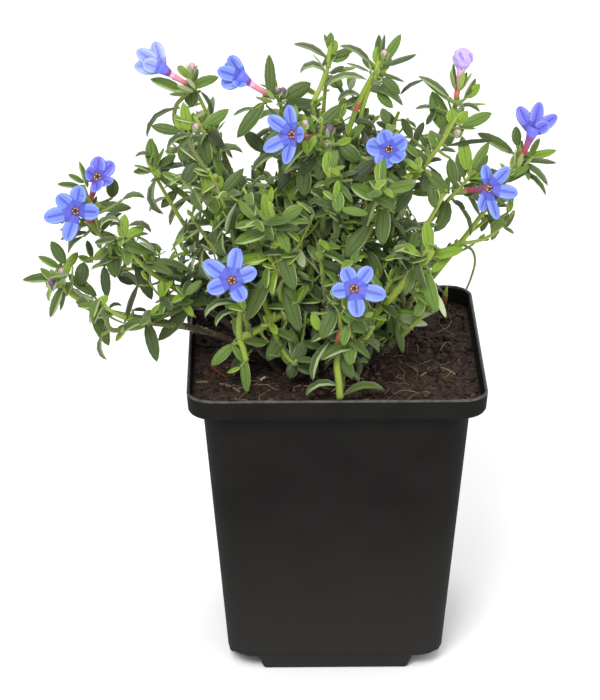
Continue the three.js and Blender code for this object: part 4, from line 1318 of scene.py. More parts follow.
        (294, 362, 290, 379, 3.6, 20, FRONT, DEEP), (296, 366, 318, 372, 4.0, 30, SLANT, DEEP),
        (282, 348, 292, 366, 3.2, 20, FRONT, FRESH), (296, 360, 304, 342, 3.8, 18, FRONT, DEEP),
        (290, 352, 318, 344, 3.8, 28, SLANT, SHADE),
    ),
}

# Where the photograph is open between the leaves: outlines, as x and y in turn.
SKY: tuple[tuple[int, ...], ...] = (
    (0, 0, 140, 0, 130, 45, 132, 70, 150, 84, 170, 100, 150, 124, 146, 140, 130, 150, 100, 150, 84,
     156, 66, 166, 50, 182, 42, 208, 40, 226, 54, 240, 36, 252, 16, 272, 0, 276),
    (122, 150, 130, 150, 134, 176, 148, 184, 148, 214, 134, 208, 146, 194, 122, 194),
    (0, 286, 44, 286, 46, 318, 62, 314, 72, 298, 86, 314, 94, 345, 96, 362, 110, 362, 116, 336,
     142, 326, 146, 350, 158, 366, 190, 346, 186, 400, 0, 400),
    (109, 290, 116, 280, 134, 284, 126, 320, 112, 328, 106, 312),
    (136, 290, 152, 290, 156, 308, 134, 312),
    (198, 0, 264, 0, 262, 90, 246, 100, 218, 88, 204, 90, 214, 118, 198, 88),
    (214, 90, 262, 100, 240, 120, 238, 140, 262, 150, 254, 165, 250, 178, 240, 160, 226, 144, 222,
     128, 230, 108, 214, 104),
    (276, 0, 320, 0, 322, 48, 300, 60, 304, 78, 292, 84, 274, 92, 274, 60),
    (304, 76, 318, 70, 324, 80, 318, 96, 312, 96, 308, 82),
    (338, 0, 372, 0, 370, 50, 366, 64, 350, 60, 340, 62, 350, 52, 338, 44),
    (330, 92, 346, 84, 362, 84, 350, 88, 336, 104, 326, 118, 318, 108, 322, 98),
    (338, 112, 350, 104, 352, 120, 340, 116),
    (404, 0, 450, 0, 446, 60, 450, 84, 444, 92, 428, 80, 400, 96, 388, 82, 404, 70, 418, 58, 406,
     50),
    (402, 98, 430, 100, 436, 116, 426, 124, 404, 112, 384, 108, 392, 98),
    (366, 96, 378, 100, 384, 112, 374, 114),
    (474, 0, 600, 0, 600, 400, 490, 400, 486, 330, 474, 290, 470, 276, 452, 284, 432, 280, 446,
     270, 458, 252, 480, 246, 500, 238, 520, 236, 518, 206, 520, 190, 540, 200, 552, 188, 562, 164,
     560, 110, 536, 98, 516, 104, 514, 142, 500, 136, 478, 130, 492, 112, 482, 80, 474, 70),
    (484, 146, 506, 150, 512, 162, 496, 166, 486, 164),
    (434, 150, 456, 146, 462, 152, 450, 166, 446, 178, 434, 168),
    (456, 196, 478, 196, 480, 212, 462, 232, 452, 242, 438, 246, 434, 236, 448, 224),
    (424, 184, 430, 196, 432, 212, 424, 226, 412, 212, 404, 196, 412, 186),
    (376, 238, 390, 238, 388, 256, 380, 252),
    (352, 258, 362, 260, 358, 268),
    (326, 256, 334, 258, 330, 264),
    (252, 262, 262, 262, 258, 270),
    (402, 262, 410, 262, 410, 272, 404, 270),
    (190, 330, 204, 306, 226, 304, 228, 340, 212, 352, 210, 366, 226, 380, 260, 390, 330, 392, 330,
     402, 192, 402),
    (250, 340, 264, 330, 262, 360, 286, 360, 288, 384, 250, 388),
    (384, 342, 396, 350, 408, 330, 430, 326, 444, 316, 448, 300, 466, 292, 486, 398, 390, 400, 360,
     378, 370, 360),
    (250, 300, 264, 304, 262, 316, 252, 322),
    (398, 298, 418, 294, 420, 302, 408, 312, 398, 308),
    (236, 136, 246, 138, 262, 150, 254, 160, 256, 170, 250, 178, 244, 168, 228, 168, 220, 166, 222,
     156, 232, 158, 244, 156, 240, 146),
    (263, 162, 272, 160, 280, 170, 272, 174, 266, 168),
    (173, 200, 188, 200, 191, 203, 180, 213, 181, 227, 177, 236, 170, 252, 166, 262, 160, 258, 160,
     251, 171, 244, 152, 240, 142, 238, 151, 231, 150, 220, 160, 213),
    (127, 211, 140, 214, 149, 216, 150, 222, 140, 220, 130, 218),
    (200, 221, 205, 220, 206, 232, 202, 236),
    (187, 210, 194, 209, 196, 216, 189, 217),
    (160, 182, 166, 181, 171, 188, 166, 194, 161, 199),
    (161, 117, 170, 112, 170, 124, 156, 124),
    (196, 96, 200, 92, 206, 104, 208, 114, 203, 114, 196, 108),
    (210, 90, 216, 90, 214, 112, 210, 108),
    (220, 123, 227, 121, 226, 134, 221, 136),
    (152, 326, 160, 319, 172, 317, 166, 326, 158, 333, 152, 334),
    (161, 343, 177, 334, 187, 328, 188, 336, 177, 350, 160, 357),
    (107, 312, 116, 309, 126, 310, 122, 322, 112, 324),
    (89, 268, 102, 268, 103, 297, 96, 290, 88, 284),
    (78, 238, 88, 234, 90, 238, 80, 246, 74, 254, 72, 250),
    (98, 224, 108, 218, 120, 222, 120, 232, 104, 235),
    (173, 283, 180, 281, 180, 290, 174, 291),
    (342, 80, 360, 76, 358, 86, 344, 88),
    (303, 48, 320, 58, 320, 62, 306, 56),
    (366, 92, 376, 90, 382, 100, 372, 106, 366, 104),
    (392, 112, 400, 112, 398, 121, 394, 121),
    (352, 131, 360, 130, 358, 138, 352, 138),
    (508, 176, 522, 174, 534, 186, 532, 190, 510, 186),
    (512, 214, 518, 210, 518, 228, 511, 224),
    (371, 228, 376, 227, 377, 246, 372, 242),
    (386, 232, 396, 229, 396, 236, 389, 250, 384, 256, 379, 252, 385, 246),
    (398, 213, 404, 214, 408, 222, 400, 219),
    (358, 203, 366, 202, 366, 210, 359, 210),
    (462, 218, 486, 216, 484, 232, 470, 240, 460, 236),
    (192, 320, 230, 320, 232, 344, 212, 366, 192, 380),
)


class PetalShade(Enum):
    """How pale or violet a blossom is."""

    BLUE = 0
    PALE = 1
    VIOLET = 2


@dataclass(frozen=True)
class SeenBlossom:
    """A blossom in the photograph: its middle, and its petals' tips with their nearness in mm.

    Its petals are of one width. They face the camera where it shows them from the side, its tube
    has a length and is pale or dark, and its mouth shows or not.
    """

    middle: tuple[float, float]
    tips: tuple[tuple[float, float, float], ...]
    shade: PetalShade = PetalShade.BLUE
    width: float = 4.4
    faces_camera: bool = False
    pale_tube: bool = False
    shows_mouth: bool = False
    tube: float = 11.0


SEEN_BLOSSOMS: dict[tuple[str, int], SeenBlossom] = {
    ("west", 0): SeenBlossom(
        (76, 211), ((79, 186, 3), (57, 196, 3), (44, 218, 3), (66, 240, 4), (97, 212, 7)), width=4.7
    ),
    ("west", 1): SeenBlossom(
        (97, 178),
        ((98, 156, 1), (113, 162, 2), (111, 182, 4), (96, 190, 5), (87, 170, 3)),
        PetalShade.VIOLET,
        width=4.8,
        faces_camera=True,
        shows_mouth=True,
    ),
    ("top_west", 0): SeenBlossom(
        (163, 69),
        ((153, 41, 0), (137, 50, 3), (134, 65, 1), (148, 47, -4), (144, 63, 4)),
        PetalShade.PALE,
        faces_camera=True,
        pale_tube=True,
    ),
    ("top_northwest", 0): SeenBlossom(
        (243, 78),
        ((228, 56, 0), (218, 70, 3), (221, 84, 1), (237, 86, 3), (223, 63, -4)),
        faces_camera=True,
        pale_tube=True,
    ),
    ("centre", 0): SeenBlossom(
        (293, 135), ((287, 105, 1), (267, 117, 0), (263, 149, 1), (284, 163, 3), (302, 134, 6))
    ),
    ("centre_east", 0): SeenBlossom(
        (389, 150),
        ((367, 145, 3), (383, 131, 3), (405, 138, 3), (402, 159, 4), (381, 166, 4)),
        width=5.6,
    ),
    ("east_upper", 0): SeenBlossom((463, 60), (), pale_tube=True, tube=6.5),
    ("east_far", 0): SeenBlossom(
        (532, 133),
        ((518, 106, 0), (541, 102, 2), (558, 115, 0), (527, 110, -4), (548, 124, 4)),
        PetalShade.VIOLET,
        width=4.0,
        faces_camera=True,
    ),
    ("east", 0): SeenBlossom(
        (488, 189),
        ((487, 164, 0), (511, 168, 0), (518, 193, 2), (499, 218, 4), (482, 210, 5)),
        width=4.2,
    ),
    ("front_left", 0): SeenBlossom(
        (232, 281),
        ((237, 247, 0), (204, 261, 1), (208, 290, 3), (243, 300, 4), (256, 270, 2)),
        width=4.8,
    ),
    ("front", 0): SeenBlossom(
        (354, 289),
        ((345, 267, 1), (371, 267, 1), (386, 295, 2), (358, 316, 4), (332, 291, 2)),
        width=4.8,
    ),
}

# Fibres that the photograph shows on the soil: their lines, radii and colours.
SEEN_FIBRES: tuple[tuple[tuple[tuple[float, float], ...], float, int], ...] = (
    (((421, 377), (428, 372), (438, 369), (448, 371), (455, 376)), 0.22, 2),
    (((196, 384), (206, 383), (220, 385), (231, 389), (240, 393)), 0.4, 0),
    (((211, 367), (219, 373), (227, 378)), 0.32, 3),
    (((252, 388), (257, 385), (262, 381)), 0.3, 3),
    (((261, 382), (263, 380), (265, 379)), 0.4, 4),
    (((404, 332), (408, 342), (407, 354)), 0.16, 3),
    (((414, 350), (424, 344), (431, 350)), 0.16, 3),
    (((440, 352), (446, 344), (452, 346)), 0.14, 2),
    (((398, 366), (404, 372), (403, 382)), 0.16, 0),
)

# How the blossoms at the back are moved from the source's place, down and some of them sideways,
# so that the crown hides them.
LOWERED: dict[str, Vector] = {
    "back": Vector((0.0, 0.0, -26.0)),
    "back_west": Vector((8.0, 0.0, -26.0)),
    "back_east": Vector((-22.0, 0.0, -50.0)),
    "back_west_low": Vector((8.0, 0.0, -20.0)),
}

# Shoots of the rule that the photograph doesn't show; its seen leaves take their place.
UNSEEN_SHOOTS: tuple[tuple[str, int], ...] = (
    ("east_far", 1),
    ("east", 1),
    ("east_low", 1),
    ("front_left", 1),
)

# Shoots that the photograph shows a few millimetres off the rule's place.
SEEN_SHOOTS: dict[tuple[str, int], tuple[tuple[float, float], ...]] = {
    ("east", 0): pixels(
        401, 288, 403, 268, 411, 248, 422, 231, 436, 214, 450, 198, 462, 186, 470, 176,
    ),
    ("east_upper", 0): pixels(
        385, 258, 390, 238, 394, 219, 402, 199, 413, 181, 427, 163, 442, 142, 456, 118,
    ),
    ("east_upper", 1): pixels(
        384, 258, 388, 238, 392, 219, 399, 199, 410, 181, 424, 163, 442, 140, 456, 107,
    ),
    ("west_back", 1): pixels(
        232, 296, 220, 289, 209, 283, 199, 278, 188, 273, 178, 268, 168, 262,
    ),
}

# Masses whose shoots are moved down with their blossom, all the way at their tips.
DROOPING = ("back_west_low",)

# Masses whose shoots end where they would show in the photograph's open gaps.
HIDDEN = (
    "back_east",
    "back_east_low",
    "back",
    "back_west",
    "back_west_low",
    "heart",
    "top_northwest",
)


@dataclass(frozen=True)
class SeenBud:
    """A bud in the photograph: where it shows, its length and which of the bud colours it has."""

    pixel: tuple[float, float]
    size: float
    colour: int


SEEN_BUDS: dict[str, tuple[SeenBud, ...]] = {
    "top_west": (SeenBud((192, 67), 3.0, 2), SeenBud((196, 127), 3.0, 2)),
    "top_northwest": (SeenBud((283, 92), 3.2, 1), SeenBud((276, 90), 2.4, 2)),
    "centre": (
        SeenBud((329, 130), 3.8, 1),
        SeenBud((327, 144), 2.8, 2),
        SeenBud((305, 124), 2.6, 2),
    ),
    "west_low": (SeenBud((52, 284), 3.4, 1), SeenBud((62, 272), 2.8, 2)),
    "east_upper": (SeenBud((458, 132), 3.0, 2),),
    "top_east": (SeenBud((384, 54), 2.8, 2),),
    "east": (SeenBud((481, 184), 3.0, 2),),
    "mid_west": (SeenBud((214, 186), 2.4, 2),),
}


@dataclass(frozen=True)
class Run:
    """A stretch of stem as points, with the radii of its ends and its tint."""

    centres: tuple[Vector, ...]
    radii: tuple[float, float]
    tint: StemTint


@dataclass
class PhotoCrown:
    """What the photograph says of the crown: where it is open, and what its stems carry where."""

    plan: ShrubPlan
    view: PhotoView = field(default_factory=PhotoView)
    touching: float = 1.0
    reach: float = 12.0
    pixels: float = 3.2
    fine_pitch: float = 6.0
    fine_length: float = 8.0
    fine_spread: float = 56.0
    fine_radii: tuple[float, float] = (0.45, 0.3)

    def __post_init__(self) -> None:
        """Marks the open gaps and lays out the seen stems."""
        self.gaps = self._filled([pixels(*outline) for outline in SKY])
        self.shown = np.full((PHOTO_HEIGHT, PHOTO_WIDTH), np.inf)
        self.kept_shoots: dict[int, list[Stem]] = {}
        self.kept_fine: dict[int, list[Stem]] = {}
        self.kept_twigs: dict[int, list[Stem]] = {}
        self.runs: list[Run] = []
        self.carriers: dict[str, list[tuple[Vector, float, float]]] = {}
        for plan in self.plan.canes:
            found: list[Vector] = []
            for stem in self.shoots(plan):
                found += stem.curve.spaced(0.1, 1.0, 60)
                for twig in self.twigs(stem):
                    found += twig.curve.spaced(0.2, 1.0, 14)
            for bloom in plan.blossoms:
                found += Curve((bloom.nearest, bloom.calyx)).spaced(0.2, 1.0, 10)
            self.carriers[plan.row.name] = [(p, *self.view.pixel(p)) for p in found]
        for name, stems in SEEN_STEMS.items():
            for seen in stems:
                self._lay(name, seen)

    def _filled(self, polygons: Sequence[Sequence[tuple[float, float]]]) -> np.ndarray:
        """Returns the frame's pixels as an array that is true inside polygons."""
        rows, columns = np.mgrid[0:PHOTO_HEIGHT, 0:PHOTO_WIDTH] + 0.5
        filled = np.zeros(rows.shape, bool)
        for polygon in polygons:
            inside = np.zeros(rows.shape, bool)
            for (x1, y1), (x2, y2) in zip(polygon, [*polygon[1:], polygon[0]]):
                if y1 == y2:
                    continue
                crosses = (rows > min(y1, y2)) & (rows <= max(y1, y2))
                inside ^= crosses & (columns < x1 + (rows - y1) * (x2 - x1) / (y2 - y1))
            filled |= inside
        return filled

    def _in_frame(self, x: float, y: float) -> bool:
        """Says whether a pixel lies in the photograph's frame."""
        return 0 <= x < PHOTO_WIDTH and 0 <= y < PHOTO_HEIGHT

    def is_open(self, point: Vector) -> bool:
        """Says whether the photograph is open where a point would show."""
        x, y = self.view.pixel(point)
        return bool(self._in_frame(x, y) and self.gaps[int(y), int(x)])

    def show(self, points: Sequence[Vector], radius: float) -> None:
        """Keeps the view of something that the photograph shows free.

        Args:
            points: Points along it.
            radius: How far about them it reaches.
        """
        for point in points:
            x, y = self.view.pixel(point)
            reach = max(1, round(radius * self.pixels))
            rows = slice(max(0, int(y) - reach), int(y) + reach + 1)
            columns = slice(max(0, int(x) - reach), int(x) + reach + 1)
            area = self.shown[rows, columns]
            np.minimum(area, self.view.depth(point), out=area)

    def hides(self, point: Vector) -> bool:
        """Says whether a point would stand before something that the photograph shows."""
        x, y = self.view.pixel(point)
        if not self._in_frame(x, y):
            return False
        shown = self.shown[int(y), int(x)]
        return bool(shown < np.inf and self.view.depth(point) < shown - self.touching)

    def shoots(self, plan: CanePlan) -> list[Stem]:
        """Returns a cane's shoots without what the photograph doesn't show of them."""
        if plan.index not in self.kept_shoots:
            kept = [s for k, s in enumerate(plan.shoots) if (plan.row.name, k) not in UNSEEN_SHOOTS]
            if plan.row.name in DROOPING:
                kept = [self._drooped(stem, LOWERED[plan.row.name]) for stem in kept]
            elif plan.row.name in HIDDEN:
                kept = [self._cut(stem) for stem in kept]
            self.kept_shoots[plan.index] = kept
        return self.kept_shoots[plan.index]

    def _drooped(self, stem: Stem, shift: Vector) -> Stem:
        """Returns a shoot that hangs lower, by all of a shift at its tip."""
        points = stem.curve.spaced(0.0, 1.0, 24)
        line = tuple(p + shift * (k / 24) ** 1.5 for k, p in enumerate(points))
        return replace(stem, curve=TracedCurve(line))

    def _cut(self, stem: Stem) -> Stem:
        """Returns a shoot that ends before it would show in a gap."""
        points = stem.curve.spaced(0.0, 1.0, 24)
        open_at = next((k for k, p in enumerate(points) if k > 5 and self.is_open(p)), None)
        return replace(stem, curve=TracedCurve(tuple(points[: open_at - 1]))) if open_at else stem

    def _fine_along(
        self, mass: int, curve: Curve, start: float, end: float, seed: int
    ) -> list[Stem]:
        """Returns short twigs along a stretch of a curve, where they have room.

        Args:
            mass: The index of their mass.
            curve: The shoot or cane.
            start: The share of the way at which they start.
            end: The share at which they end.
            seed: Where their seeded numbers start.
        """
        draw = seeded(seed)
        count = int(curve.length() * (end - start) / self.fine_pitch)
        turn = draw() * 360
        found = []
        for k in range(count):
            t = start + (end - start) * (k + 0.2 + 0.6 * draw()) / count
            axis = curve.tangent(t)
            turn += GOLDEN_TURN + (draw() - 0.5) * 40
            radial = turned_round(axis, side_of(axis), math.radians(turn))
            out, _ = splayed(axis, radial, self.fine_spread)
            length = self.fine_length * (0.7 + 0.6 * draw())
            foot = curve.at(t)
            tip = foot + out * length * 0.9 + UP * length * 0.25
            line = Curve((foot, foot + out * length * 0.55, tip))
            samples = line.spaced(0.45, 1.0, 3)
            low = self.plan.soil_top + 2.5
            free = all(
                self.plan.clear_of_pot(p) and p.z > low and not self.is_open(p) for p in samples
            )
            if free and all(self.plan.cane_tree.find(p)[2] > 1.6 for p in samples[1:]):
                side = out.cross(axis).normalized()
                found.append(Stem(line, side, *self.fine_radii, mass, seed * 7 + k))
        return found

    def fine_twigs(self, plan: CanePlan) -> list[Stem]:
        """Returns the finer twigs that carry the source's rule on along a cane and its shoots."""
        if plan.index not in self.kept_fine:
            stretches = [(plan.curve, 0.06, self.plan.fork, Seeds.CANE_FINE + plan.index * 50)]
            for stem in self.shoots(plan):
                stretches.append((stem.curve, 0.0, 0.86, Seeds.SHOOT_FINE + stem.seed * 50))
                for twig in self.twigs(stem):
                    stretches.append((twig.curve, 0.2, 0.9, Seeds.TWIG_FINE + twig.seed * 50))
            self.kept_fine[plan.index] = [
                twig for stretch in stretches for twig in self._fine_along(plan.index, *stretch)
            ]
        return self.kept_fine[plan.index]

    def twigs(self, stem: Stem) -> list[Stem]:
        """Returns the source's side twigs of a shoot without those that would cross a gap."""
        if stem.seed not in self.kept_twigs:
            self.kept_twigs[stem.seed] = [
                twig
                for twig in self.plan.side_twigs(stem)
                if not any(self.is_open(p) for p in twig.curve.spaced(0.5, 1.0, 3))
            ]
        return self.kept_twigs[stem.seed]

    def _nearest(self, names: Sequence[str], pixel: Sequence[float]) -> tuple[Vector, float]:
        """Returns the stem point that shows nearest to a pixel, and how far off in pixels."""
        best, least = Vector(), math.inf
        for name in names:
            for point, x, y in self.carriers[name]:
                away = math.hypot(x - pixel[0], y - pixel[1])
                if away < least:
                    best, least = point, away
        return best, least

    def _lay(self, name: str, seen: SeenStem) -> None:
        """Lays a seen stem out between the stems that it starts and ends at."""
        start, _ = self._nearest([name], seen.line[0])
        end, away = self._nearest(list(self.carriers), seen.line[-1])
        if away > self.reach:
            end = start
        depths = (self.view.depth(start), self.view.depth(end))
        last = len(seen.line) - 1
        points = [
            self.view.at(pixel, depths[0] + (depths[1] - depths[0]) * k / last)
            for k, pixel in enumerate(seen.line)
        ]
        if (points[0] - start).length > self.touching:
            points.insert(0, start)
        centres = smooth_line(points, 5)
        self.runs.append(Run(tuple(centres), seen.radii, seen.tint))
        self.carriers[name] += [(p, *self.view.pixel(p)) for p in centres]

    def seat(self, name: str, pixel: Sequence[float]) -> Vector:
        """Returns where something that a mass carries at a pixel leaves its stem.

        A short twig is added where no stem of the mass shows at the pixel.

        Args:
            name: The mass's name.
            pixel: Where the photograph shows its foot.
        """
        carrier, _ = self._nearest([name], pixel)
        place = self.view.at(pixel, self.view.depth(carrier))
        away = (place - carrier).length
        if away > self.touching:
            lift = carrier.lerp(place, 0.5) - UP * 0.12 * away
            centres = Curve((carrier, lift, place)).spaced(0.0, 1.0, 5)
            self.runs.append(Run(tuple(centres), (0.5, 0.4), StemTint.GREEN))
        return place

    def turned(self, back: Back) -> Vector:
        """Returns a leaf's back as a direction of the part."""
        x, y, z = back.value
        return (self.view.right * x + self.view.up * y + self.view.back * z).normalized()


# How leaves are dealt and set.


@dataclass(frozen=True)
class LeafRule:
    """How leaves are dealt along a stem."""

    pitch: float
    start: float
    length: float
    width: float
    spread_low: float = 70.0
    spread_tip: float = 48.0
    tip_from: float = 0.7
    tip_shorter: float = 0.3
    bend_low: float = 96.0
    bend_tip: float = 58.0
    turn_jitter: float = 24.0
    spread_jitter: float = 22.0
    bend_jitter: float = 90.0
    least_bend: float = 6.0
    least_size: float = 0.82
    size_jitter: float = 0.32
    lift: float = 0.35
    spacing: float = 1.15


@dataclass
class Foliage:
    """Every leaf of the shrub, set on its shoots and twigs."""

    plan: ShrubPlan
    photo: PhotoCrown
    bends: tuple[float, ...] = (8.0, 28.0, 48.0, 68.0, 90.0, 116.0, 142.0, 168.0)
    twists: tuple[float, ...] = (-14.0, 0.0, 14.0)
    shoot_rule: LeafRule = LeafRule(pitch=2.9, start=0.04, length=14.0, width=3.5)
    twig_rule: LeafRule = LeafRule(pitch=3.0, start=0.3, length=12.5, width=3.2)
    fine_rule: LeafRule = LeafRule(pitch=2.8, start=0.2, length=10.8, width=2.8, spacing=1.0)
    tries: tuple[tuple[float, float], ...] = (
        (0, 1),
        (40, 1),
        (-40, 0.95),
        (80, 0.9),
        (-80, 0.85),
        (0, 0.7),
        (120, 0.7),
        (180, 0.6),
    )
    tuft_pitch: float = 15.0
    cell: float = 2.4
    covering: int = 2

    def __post_init__(self) -> None:
        """Makes the leaf patterns and the pieces that the leaves are joined into."""
        self.patterns = [[self._blade(bend, twist) for twist in self.twists] for bend in self.bends]
        self.pieces = {
            name: JoinedPiece()
            for name in ("leaves_shoots", "leaves_twigs", "leaves_fine", "leaves_tips")
        }
        self.taken: dict[tuple[int, ...], list[Vector]] = {}
        self.leaf_count = 0

    def _spine(self, bend: float, v: float) -> tuple[float, float, float]:
        """Returns how far along and down a unit leaf is at a share of its length, and its slope."""
        steps = 24
        y = z = slope = 0.0
        for k in range(steps):
            at = v * (k + 0.5) / steps
            slope = math.radians(bend) * at**1.25
            y += math.cos(slope) * v / steps
            z -= math.sin(slope) * v / steps
        return y, z, slope

    def _blade(self, bend: float, twist: float) -> Pattern:
        """Returns a leaf of unit length and width, bent back and twisted by angles in degrees.

        Args:
            bend: How far its tip has turned down from its root.
            twist: How far its tip has turned about its length.
        """
        outline = (
            (0, 0.22), (0.12, 0.56), (0.3, 0.9), (0.48, 1), (0.74, 0.82), (0.9, 0.46), (1, 0)
        )
        rows = (0.0, 0.1, 0.28, 0.5, 0.74, 0.9, 1.0)
        across = (-1.0, -0.85, -0.09, 0.09, 0.85, 1.0)
        level = (-0.06, 0.0, -0.042, -0.042, 0.0, -0.06)
        last = len(rows) - 1

        def place(u: float, v: float, height: float) -> Vector:
            """Returns the place of a point across at u, from -1 to 1, and along at v."""
            y, z, slope = self._spine(bend, v)
            half = 0.5 * blend_stations(outline, v) if 0.0 < v < 1.0 else 0.0
            turn = math.radians(twist) * v
            x = u * half * math.cos(turn)
            lift = height * min(1.0, 4 * v, 6 * (1 - v)) + u * half * math.sin(turn) * 0.3
            return Vector((x, y + math.sin(slope) * lift, z + math.cos(slope) * lift))

        def top(u: float, v: float) -> Vector:
            """Returns a point of the upper face."""
            column = round(u * 5)
            return place(across[column], rows[round(v * last)], level[column])

        def under(u: float, v: float) -> Vector:
            """Returns a point of the under face, whose margins lie just above the upper one's."""
            column = (-1.0, 0.0, 1.0)[round(u * 2)]
            return place(column, rows[round(v * last)], -0.05 if column else -0.065)

        def top_part(u: float, _: float) -> int:
            """Returns the part of an upper face."""
            # The rib's darker colour is painted shade in its sunken groove.
            if abs(u - 0.5) < 0.05:
                return LeafPart.RIB.value
            return LeafPart.BLADE.value if abs(u - 0.5) < 0.4 else LeafPart.MARGIN.value

        upper = grid_shape(5, last, top, top_part)
        lower = grid_shape(2, last, under, lambda u, v: LeafPart.UNDERSIDE.value, flip=True)
        return Pattern.of(welded([upper, lower], 1e-4))

    def _cell_of(self, point: Vector) -> tuple[int, ...]:
        """Returns the cell of the search grid that a point lies in."""
        return tuple(math.floor(c / self.cell) for c in point)

    def _near(self, point: Vector, distance: float) -> bool:
        """Says whether a leaf already stands within a distance of a point."""
        around = product(*((c - 1, c, c + 1) for c in self._cell_of(point)))
        return any(
            (other - point).length_squared < distance * distance
            for key in around
            for other in self.taken.get(key, ())
        )

    def _take(self, points: Sequence[Vector]) -> None:
        """Marks points as taken."""
        for point in points:
            self.taken.setdefault(self._cell_of(point), []).append(point)

    def _samples(
        self, root: Vector, along: Vector, upper: Vector, length: float, width: float, bend: float
    ) -> list[Vector]:
        """Returns points that stand for a leaf when it is kept clear of others."""
        side = along.cross(upper)
        points = []
        y = z = 0.0
        steps = 8
        for k in range(steps):
            slope = math.radians(bend) * ((k + 0.5) / steps) ** 1.25
            y += math.cos(slope) / steps
            z -= math.sin(slope) / steps
            if k < 2:
                continue
            middle = root + along * y * length + upper * z * length
            points.append(middle)
            if k in (3, 5):
                points += [middle + side * width * 0.42, middle - side * width * 0.42]
        return points

    def set_leaf(
        self,
        piece: str,
        root: Vector,
        along: Vector,
        upper: Vector,
        length: float,
        width: float,
        bend: float,
        twist: int,
        tint: LeafTint,
    ) -> None:
        """Stamps one leaf.

        Args:
            piece: The name of the piece that it joins.
            root: Where it leaves its stem.
            along: The direction in which it leaves.
            upper: The direction of its upper face.
            length: Its length.
            width: Its width.
            bend: The angle by which it curls back.
            twist: Which of the twists it has.
            tint: Its spray's tint.
        """
        nearest = min(range(len(self.bends)), key=lambda i: abs(self.bends[i] - bend))
        pattern = self.patterns[nearest][twist]
        slots = np.arange(4) + tint.value * 4
        side = along.cross(upper)
        axes = (side * width, along * length, upper * length)
        self.pieces[piece].stamp(pattern, axes, root, slots)
        self.leaf_count += 1

    def _tint(self, stem: Stem, t: float, root: Vector, draw: Callable[[], float]) -> LeafTint:
        """Returns a leaf's tint from its place on the spray and the spray's in the crown: leaves
        inside the crown take darker tints, as painted shade.
        """
        reach = (root - self.plan.clump).length
        age = t + (draw() - 0.5) * 0.22 + stem.age * 0.3
        # Leaves deep in the crown get the darker MID, DEEP and SHADE tints: painted shade.
        inner = reach < 34 or (reach < 48 and root.y > -8) or (root.z < 118 and root.y > 0)
        if age > 0.93:
            return LeafTint.YOUNG
        if age > 0.72:
            return LeafTint.MID if inner else LeafTint.FRESH
        if inner:
            return LeafTint.SHADE if draw() < 0.55 else LeafTint.DEEP
        return LeafTint.MID if age > 0.4 else LeafTint.DEEP

    def spiral(
        self, stem: Stem, rule: LeafRule, piece: str, seed: int, shared: bool = False
    ) -> None:
        """Sets leaves in a spiral along a stem, more upright and shorter towards its tip.

        Args:
            stem: The shoot or twig.
            rule: How its leaves are dealt.
            piece: The name of the piece that they join.
            seed: Where their seeded numbers start.
            shared: Whether they may reach into the space of other masses.
        """
        draw = seeded(seed)
        span = stem.curve.length() * (1 - rule.start)
        count = max(2, round(span / rule.pitch))
        turn = draw() * 360
        for k in range(count + 1):
            t = rule.start + (1 - rule.start) * min(1.0, k / count)
            frame = stem.frame(t)
            turn += GOLDEN_TURN + (draw() - 0.5) * rule.turn_jitter
            near_tip = max(0.0, (t - rule.tip_from) / (1 - rule.tip_from))
            spread = rule.spread_low + (rule.spread_tip - rule.spread_low) * near_tip
            spread += (draw() - 0.5) * rule.spread_jitter
            size = rule.least_size + rule.size_jitter * draw()
            size *= 1 - rule.tip_shorter * near_tip
            bend = rule.bend_low + (rule.bend_tip - rule.bend_low) * near_tip
            bend = max(rule.least_bend, bend + (draw() - 0.5) * rule.bend_jitter)
            twist = int(draw() * 2.999)
            for shift, shrink in self.tries:
                along, upper = splayed(frame.axis, frame.radial(turn + shift), spread)
                upper = upper + UP * rule.lift
                upper = (upper - along * upper.dot(along)).normalized()
                length = rule.length * size * shrink
                width = rule.width * math.sqrt(size * shrink)
                root = frame.point + along * stem.radius(t) * 0.5
                samples = self._samples(root, along, upper, length, width, bend)
                if any(self._near(p, rule.spacing) for p in samples):
                    continue
                if any(self.photo.is_open(p) for p in samples):
                    continue
                if sum(self.photo.hides(p) for p in samples) > self.covering:
                    continue
                if all(self._has_room(p, stem.mass, shared) for p in samples):
                    tint = self._tint(stem, t, root, draw)
                    self.set_leaf(piece, root, along, upper, length, width, bend, twist, tint)
                    self._take(samples)
                    break

    def _has_room(self, point: Vector, mass: int, shared: bool) -> bool:
        """Says whether a leaf's point keeps to its mass, or off canes, and clear of the pot."""
        if not self.plan.clear_of_pot(point):
            return False
        if shared:
            return point.z > self.plan.soil_top + 1.0 and self.plan.cane_tree.find(point)[2] > 1.5
        return self.plan.in_own_space(point, mass, 0.0)

    def rosette(self, stem: Stem, seed: int, count: int = 8) -> None:
        """Sets the upright young leaves round a stem's tip.

        Args:
            stem: The shoot or twig.
            seed: Where their seeded numbers start.
            count: How many leaves the tip holds.
        """
        draw = seeded(seed)
        turn = draw() * 360
        for k in range(count):
            share = k / (count - 1)
            frame = stem.frame(1.0 - 0.05 * (1 - share))
            turn += GOLDEN_TURN
            radial = frame.radial(turn)
            lean = 44 - 34 * share + (draw() - 0.5) * 12
            along, upper = splayed(frame.axis, radial, lean)
            length = (7.6 - 4.4 * share) * (0.85 + 0.3 * draw())
            tint = LeafTint.YOUNG if share > 0.3 else LeafTint.FRESH
            root = frame.point + radial * stem.tip_radius * 0.5
            bend = 34 - 20 * share
            end = root + along * length * 0.9
            if self.photo.is_open(end) or self.photo.hides(end):
                continue
            width = 2.5 - 1.1 * share
            self.set_leaf("leaves_tips", root, along, upper, length, width, bend, 1, tint)

